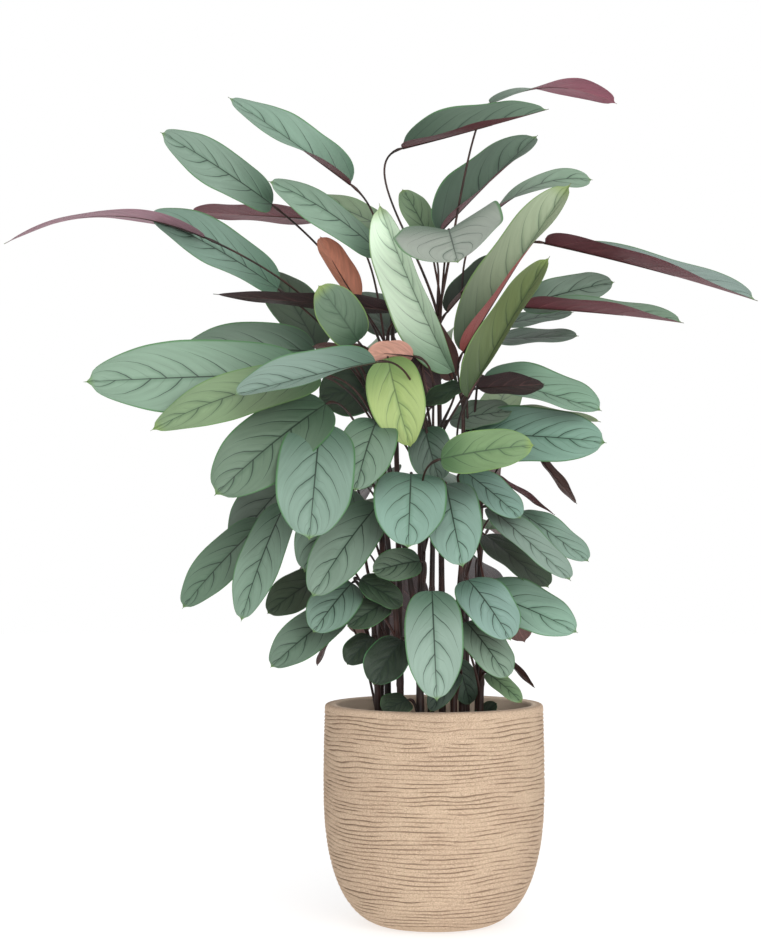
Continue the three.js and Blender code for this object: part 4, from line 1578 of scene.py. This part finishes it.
@dataclass(frozen=True)
class UnderFinish:
    """The underside: satin maroon, with raised veins a little lighter than the ground."""

    pattern: bpy.types.NodeTree
    light: Colour = linear(178, 120, 112)
    light_share: float = 0.45
    mottle_from: Pair = (0.25, 0.75)
    mottle: Pair = (0.82, 1.12)
    vein_share: float = 0.35
    midrib_share: float = 0.6
    stripe_relief: float = 0.08
    bump: Pair = (0.0009, 0.9)

    def material(self) -> bpy.types.Material:
        """Make the material.

        Returns:
            The material.
        """
        material, graph = material_graph("leaf_underside")
        masks = graph.group(self.pattern).outputs
        back = graph.attribute("back")
        mottled = graph.step(*self.mottle_from, masks["Mottle"], *self.mottle)
        ground = graph.mix(1.0, back, graph.joined(mottled, mottled, mottled), "MULTIPLY")
        veins = graph.math("MULTIPLY", masks["Vein"], self.vein_share)
        raised = graph.math("MAXIMUM", veins, graph.math("MULTIPLY", masks["Midrib"], self.midrib_share))
        colour = graph.mix(raised, ground, graph.mix(self.light_share, back, self.light))
        height = graph.math("MULTIPLY_ADD", masks["Stripes"], self.stripe_relief, masks["Shade"])
        graph.shader(
            Base_Color=colour,
            Roughness=0.5,
            Specular_IOR_Level=0.4,
            Normal=graph.bump(height, *self.bump),
        )
        return material


@dataclass(frozen=True)
class StalkFinish:
    """Canes and stalks: dark reddish brown, streaked along.

    `streak_cells` and `patch_cells` are cells a metre, and `drawn_out` is the share of them that a streak
    has upwards, so that it is long.
    """

    dark: Colour = linear(30, 22, 19)
    warm: Colour = linear(76, 46, 38)
    streak_cells: float = 420
    patch_cells: float = 24
    drawn_out: float = 0.12
    least_streak: float = 0.4
    spread: Pair = (0.3, 0.7)
    bump: Pair = (0.0004, 0.6)

    def material(self) -> bpy.types.Material:
        """Make the material.

        Returns:
            The material.
        """
        material, graph = material_graph("cane_and_stalk")
        place = graph.place()
        x, y, z = graph.parts(place)
        drawn = graph.joined(x, y, graph.math("MULTIPLY", z, self.drawn_out))
        streaks = graph.noise(drawn, self.streak_cells, 3.0)
        patches = graph.noise(place, self.patch_cells, 3.0)
        streaked = graph.step(*self.spread, streaks, self.least_streak, 1.0)
        share = graph.math("MULTIPLY", graph.step(*self.spread, patches), streaked)
        graph.shader(
            Base_Color=graph.mix(share, self.dark, self.warm),
            Roughness=0.48,
            Specular_IOR_Level=0.4,
            Normal=graph.bump(streaks, *self.bump),
        )
        return material


@dataclass(frozen=True)
class LeafFinishes:
    """The materials of a shoot."""

    def materials(self) -> list[bpy.types.Material]:
        """Make them, in the order of LeafSlot."""
        pattern = VeinPattern().group()
        return [UpperFinish(pattern).material(), UnderFinish(pattern).material(), StalkFinish().material()]


@dataclass(frozen=True)
class ClayFinish:
    """Unglazed sand-beige clay: fine grain, pale and dark specks, darker hollows between the ridges, which
    are dust and painted shade, and a paler inside, which is painted light.

    Cells are counted a metre. Each range of noise or depth brings its colour in, up to its share.
    """

    sand: Colour = linear(206, 180, 154)
    dusk: Colour = linear(199, 172, 147)
    # Dark brown of the hollows between the ridges, dust and painted shade; the grain's dark pits use it too
    hollow: Colour = linear(106, 84, 66)
    speck: Colour = linear(224, 202, 176)
    # Painted light: the inside is paler than the clay so that its inner wall reads as lit
    inside: Colour = linear(250, 232, 208)
    broad_cells: float = 14
    grain_cells: float = 760
    dusk_range: Pair = (0.35, 0.7)
    speck_range: Pair = (0.48, 0.62)
    speck_share: float = 0.8
    pit_range: Pair = (0.5, 0.36)
    pit_share: float = 0.45
    hollow_range: Pair = (0.25, 0.9)
    hollow_dust_and_shade_share: float = 0.85
    inside_painted_light_share: float = 0.8
    bump: Pair = (0.0011, 0.9)

    def material(self) -> bpy.types.Material:
        """Make the material.

        The mesh gives how deep a place lies, from 0 on a ridge to 1 in a hollow, and where the inside is.

        Returns:
            The material.
        """
        material, graph = material_graph("sand_clay")
        place = graph.place()
        depth, inner, _ = graph.parts(graph.attribute("where"))
        broad = graph.noise(place, self.broad_cells, 3.0)
        grain = graph.noise(place, self.grain_cells, 3.0, 0.8)
        sand = graph.mix(graph.step(*self.dusk_range, broad), self.sand, self.dusk)
        specks = graph.step(*self.speck_range, grain, 0.0, self.speck_share)
        pits = graph.step(*self.pit_range, grain, 0.0, self.pit_share)
        # The hollows between the ridges are darkened: dust and painted shade
        hollows = graph.step(*self.hollow_range, depth, 0.0, self.hollow_dust_and_shade_share)
        grained = graph.mix(specks, sand, self.speck)
        pitted = graph.mix(pits, grained, self.hollow)
        combed = graph.mix(hollows, pitted, self.hollow)
        # Painted light: the inside is mixed towards its pale colour
        graph.shader(
            Base_Color=graph.mix(graph.math("MULTIPLY", inner, self.inside_painted_light_share), combed, self.inside),
            Roughness=0.92,
            Specular_IOR_Level=0.25,
            Normal=graph.bump(grain, *self.bump),
        )
        return material


@dataclass(frozen=True)
class SoilFinish:
    """Dark crumbly potting soil."""

    dark: Colour = linear(46, 36, 30)
    light: Colour = linear(92, 74, 60)
    crumb_cells: float = 260
    light_range: Pair = (0.4, 0.75)
    crumb_depth: float = 0.002

    def material(self) -> bpy.types.Material:
        """Make the material.

        Returns:
            The material.
        """
        material, graph = material_graph("potting_soil_crumb")
        crumbs = graph.noise(graph.place(), self.crumb_cells, 4.0, 0.65)
        graph.shader(
            Base_Color=graph.mix(graph.step(*self.light_range, crumbs), self.dark, self.light),
            Roughness=1.0,
            Specular_IOR_Level=0.2,
            Normal=graph.bump(crumbs, self.crumb_depth),
        )
        return material


def turned_body(
    name: str, rings: Array, depth: Array, inner: Array, material: bpy.types.Material
) -> bpy.types.Object:
    """Make a closed body from rings of points, the first and last ring closed on their middles.

    Args:
        name: The piece's name.
        rings: Points, (rings, sides, 3), from the bottom's middle round the outside to the inside's.
        depth: How deep each point lies, for the finish.
        inner: Which points are on the inside, for the finish.
        material: The finish.

    Returns:
        The piece.
    """
    count, sides = rings.shape[:2]
    middles = rings[[0, -1]].mean(1)
    where = np.zeros((count * sides + 2, 3))
    where[:-2, 0] = depth.ravel()
    where[:-2, 1] = inner.ravel()
    points = np.concatenate([rings.reshape(-1, 3), middles])
    patch = plain_patch(points, ring_faces(count, sides), end_fans(count, sides), 0, where)
    return piece_from(name, [patch], [material])


def turned(profile: Array, sides: int) -> Array:
    """Turn a profile of radius and height about +Z: (r cos a, r sin a, z), as (points, sides, 3).

    Args:
        profile: Radius and height, (n, 2).
        sides: Points round.

    Returns:
        Rings, (n, sides, 3).
    """
    angle = 2 * np.pi * np.arange(sides) / sides
    radius = profile[:, :1]
    height = np.broadcast_to(profile[:, 1:], (len(profile), sides))
    return np.stack([radius * np.cos(angle), radius * np.sin(angle), height], -1)


@dataclass(frozen=True)
class Roughness:
    """A noise over a turned body: its cell in millimetres, strength and seed, and how flat its cells are."""

    cell: float
    strength: float
    seed: int
    flat: float = 1

    def at(self, points: Array) -> Array:
        """Give it at points."""
        return self.strength * lattice_noise(points * [1, 1, self.flat], self.cell, self.seed)


@dataclass(frozen=True)
class Planter:
    """The round-bottomed planter, in millimetres, with fine combed ridges under a smooth rim.

    `foot_rings` are radii and heights, `low_inside` is the radius inside at the floor, and `middle` that of
    the flat disc that closes the inside. Ridges grow over the heights of `ridge_start` and fade over those of
    `ridge_end`, which are counted from the wall's top.
    """

    height: float = 295
    radius: float = 149
    rim_radius: float = 147
    foot_radius: float = 62
    foot_rings: tuple[Pair, ...] = ((20, 0), (50, 0), (58, 0), (61, 0.5))
    belly_height: float = 190
    belly_power: float = 2.5
    belly_root: float = 2.2
    wall: float = 17
    floor: float = 22
    middle: float = 20
    low_inside: float = 76
    inside_heights: tuple[float, ...] = (46, 95, 165)
    inside_rim: float = 130
    inside_steps: int = 12
    rim_band: float = 5.5
    rim_round: float = 4
    rim_steps: int = 6
    sides: int = 256
    rows: int = 316

    ridge_pitch: float = 5.7
    ridge_depth: float = 2.3
    ridge_start: Pair = (2.5, 12)
    ridge_end: Pair = (0.5, -4)
    lip: float = 0.24
    lean: float = 2.4
    flat: float = 2.2
    wander: tuple[Roughness, ...] = (
        Roughness(90, 4.2, 21), Roughness(38, 2.1, 22, flat=1.5), Roughness(10, 0.378, 23)
    )
    evenness: float = 0.85
    shallowest: float = 0.35
    shallows: Roughness = Roughness(30, 0.5, 24, flat=2)

    def outer_radius(self, z: Array) -> Array:
        """Give the outside: a rounded belly up to belly_height, then drawn in a little towards the rim.

        The belly is foot + (radius - foot) (1 - (1 - z / belly_height)^2.5)^(1 / 2.2).

        Args:
            z: Heights.

        Returns:
            Radii, as many as z.
        """
        belly = np.minimum(1, z / self.belly_height)
        bulge = (1 - (1 - belly) ** self.belly_power) ** (1 / self.belly_root)
        above = np.clip((z - self.belly_height) / (self.height - self.belly_height), 0, None)
        drawn_in = (self.radius - self.rim_radius) * above**2
        return self.foot_radius + (self.radius - self.foot_radius) * bulge - drawn_in

    def inside_profile(self) -> Array:
        """Give the inside as radius and height, from the floor to below the rim.

        Returns:
            The profile, (n, 2).
        """
        heights = np.array(self.inside_heights)
        walls = np.stack([self.outer_radius(heights) - self.wall, heights], -1)
        low = [[self.low_inside, self.floor]]
        high = [[self.inside_rim, self.height - self.rim_round]]
        return np.concatenate([low, walls, high])

    def rim_profile(self) -> Array:
        """Give the rim as radius and height: a quarter circle up outside and one down inside.

        Returns:
            The profile, (n, 2).
        """
        bend = np.radians(np.linspace(0, 90, self.rim_steps))
        turn = self.rim_round
        rise = self.height - turn + turn * np.sin(bend)
        outer = np.stack([self.rim_radius - turn + turn * np.cos(bend), rise], -1)
        inner = np.stack([self.inside_rim + turn - turn * np.cos(bend), rise], -1)
        return np.concatenate([outer, inner[::-1]])

    def ridges(self, points: Array) -> Array:
        """Give how deep the combed outside lies below its crests at points, from 0 to 1.

        Up the wall each ridge steps out sharply over its first part, `lip`, and leans back slowly over the
        rest: depth = (1 - p / lip)^2 and then ((p - lip) / (1 - lip))^2.4, where p is the share of a ridge.
        Broad and fine noise moves the heights, so that the ridges wander, pinch and part, and a last noise
        makes some hollows shallow.

        Args:
            points: Points of the outside, (rings, sides, 3).

        Returns:
            Depths, (rings, sides).
        """
        flat = points.reshape(-1, 3)
        height = flat[:, 2]
        flat = flat * [1, 1, self.flat]
        share = (height + sum(noise.at(flat) for noise in self.wander)) / self.ridge_pitch % 1
        below = np.clip(1 - share / self.lip, 0, 1) ** 2
        above = np.clip((share - self.lip) / (1 - self.lip), 0, 1) ** self.lean
        strength = np.clip(self.evenness + self.shallows.at(flat), self.shallowest, 1)
        return (np.maximum(below, above) * strength).reshape(points.shape[:-1])

    def build(self) -> bpy.types.Object:
        """Make the planter.

        Its profile runs from under the foot up the wall, over the rim and down the inside to the floor. The
        ridges draw the wall's points inwards by their depth.

        Returns:
            The piece.
        """
        wall_top = self.height - self.rim_band
        low = np.array(self.foot_rings)
        heights = np.linspace(self.ridge_start[0], wall_top, self.rows)
        wall = np.stack([self.outer_radius(heights), heights], -1)
        rim = self.rim_profile()
        inside = self.inside_profile()[::-1]
        near = np.linspace(inside[0], inside[1], self.inside_steps)[1:-1]
        profile = np.concatenate([low, wall, rim, near, inside[1:], [[self.middle, self.floor]]])
        rings = turned(profile, self.sides)
        first, last = len(low), len(low) + self.rows
        combed = rings[first:last]
        above, below = self.ridge_end
        faded = smooth_step(*self.ridge_start, combed[..., 2])
        faded = faded * smooth_step(wall_top + above, wall_top + below, combed[..., 2])
        depth = np.zeros(rings.shape[:2])
        depth[first:last] = self.ridges(combed) * faded
        rings[..., :2] *= (1 - depth * self.ridge_depth / profile[:, :1])[..., None]
        inner = np.zeros(rings.shape[:2])
        inner[last + len(rim) // 2 :] = 1
        return turned_body("planter", rings, depth, inner, ClayFinish().material())


@dataclass(frozen=True)
class Soil:
    """The soil that fills the planter, in millimetres.

    It stays `clear` of the wall and `floor_gap` over the floor. Its top is cut by `edge` from the wall and
    the level, crowned by `crown`, and broken into crumbs that are sunk a little.
    """

    below_rim: float = 38
    crown: float = 3
    clear: float = 1.2
    floor_gap: float = 0.4
    edge: Pair = (0.6, 2)
    top_edge: float = 1.5
    top_middle: float = 4
    crumbs: tuple[Roughness, ...] = (Roughness(11, 0.864, 31), Roughness(4, 0.576, 32))
    sunk: float = 0.6
    sides: int = 160
    rings: int = 40

    def build(self, planter: Planter) -> bpy.types.Object:
        """Make the soil: the inside of the planter less a small gap, with a crumbly crowned top.

        Args:
            planter: The planter that holds it.

        Returns:
            The piece.
        """
        top = planter.height - self.below_rim
        inside = planter.inside_profile()
        inside[:, 0] -= self.clear
        inside[0, 1] += self.floor_gap
        edge = np.interp(top, inside[:, 1], inside[:, 0])
        aside, lower = self.edge
        wall = np.concatenate([inside[inside[:, 1] < top], [[edge - aside, top - lower]]])
        radius = np.linspace(edge - self.top_edge, self.top_middle, self.rings)
        crown = np.stack([radius, top + self.crown * (1 - (radius / edge) ** 2)], -1)
        rings = turned(np.concatenate([[[planter.middle, inside[0, 1]]], wall, crown]), self.sides)
        surface = rings[-self.rings :]
        lumps = sum(noise.at(surface.reshape(-1, 3)) for noise in self.crumbs)
        surface[..., 2] += lumps.reshape(surface.shape[:-1]) - self.sunk
        none = np.zeros(rings.shape[:2])
        return turned_body("compost", rings, none, none, SoilFinish().material())


@dataclass(frozen=True)
class Studio:
    """The pale floor and the soft light; distances are in metres and powers in watts."""

    floor_size: float = 14
    floor_grey: Colour = (0.48, 0.48, 0.48)
    floor_glow: float = 0.66
    white: Colour = (1.0, 1.0, 1.0)
    horizon: float = 0.47
    zenith: float = 1.12
    key_power: float = 70
    key_size: float = 2.4
    key_place: Point = (0.8, -3.2, 1.6)
    key_aim: Point = (0, 0, 0.5)

    def lamp(self) -> None:
        """Add a soft square lamp that points at the plant."""
        data = bpy.data.lights.new("key", "AREA")
        data.energy = self.key_power
        data.size = self.key_size
        lamp = bpy.data.objects.new("key", data)
        bpy.context.scene.collection.objects.link(lamp)
        back = unit(np.subtract(self.key_place, self.key_aim).astype(float))
        right = unit(np.cross(UP, back))
        lamp.matrix_world = stood(np.array(self.key_place), right, np.cross(back, right), back)

    def sky(self) -> None:
        """Light the scene by horizon + (zenith - horizon) z^2, and show white behind it."""
        world = bpy.data.worlds.new("studio")
        world.use_nodes = True
        graph = Graph(world.node_tree)
        _, _, z = graph.parts(graph.node("ShaderNodeTexCoord").outputs["Generated"])
        rise = graph.math("MULTIPLY", z, z)
        light = graph.math("MULTIPLY_ADD", rise, self.zenith - self.horizon, self.horizon)
        shown = graph.node("ShaderNodeLightPath").outputs["Is Camera Ray"]
        background = graph.node("ShaderNodeBackground")
        graph.feed(background.inputs["Color"], self.white)
        graph.feed(background.inputs["Strength"], graph.math("MAXIMUM", light, shown))
        graph.feed(graph.node("ShaderNodeOutputWorld").inputs[0], background.outputs[0])
        bpy.context.scene.world = world

    def floor(self) -> None:
        """Lay the pale floor, which glows a little so that it nears white."""
        half = self.floor_size / 2
        mesh = bpy.data.meshes.new("floor")
        corners = [(-half, -half, 0), (half, -half, 0), (half, half, 0), (-half, half, 0)]
        mesh.from_pydata(corners, [], [(0, 1, 2, 3)])
        material, graph = material_graph("pale_floor")
        graph.shader(
            Base_Color=self.floor_grey,
            Roughness=0.9,
            Specular_IOR_Level=0.1,
            Emission_Color=self.white,
            Emission_Strength=self.floor_glow,
        )
        mesh.materials.append(material)
        floor = bpy.data.objects.new("floor", mesh)
        bpy.context.scene.collection.objects.link(floor)

    def build(self) -> None:
        """Make the floor, the sky's light and the lamp."""
        self.floor()
        self.sky()
        self.lamp()
        bpy.context.scene.view_settings.view_transform = "Standard"


def main() -> None:
    """Build the camera, the planter, the soil, the plant and the studio."""
    logging.basicConfig(level=logging.INFO, format="%(name)s %(message)s")
    VIEW.camera()
    planter = Planter()
    report(dress(planter.build(), "pot"))
    report(dress(Soil().build(planter), "soil"))
    Plant().grow()
    Studio().build()


if __name__ == "__main__":
    main()
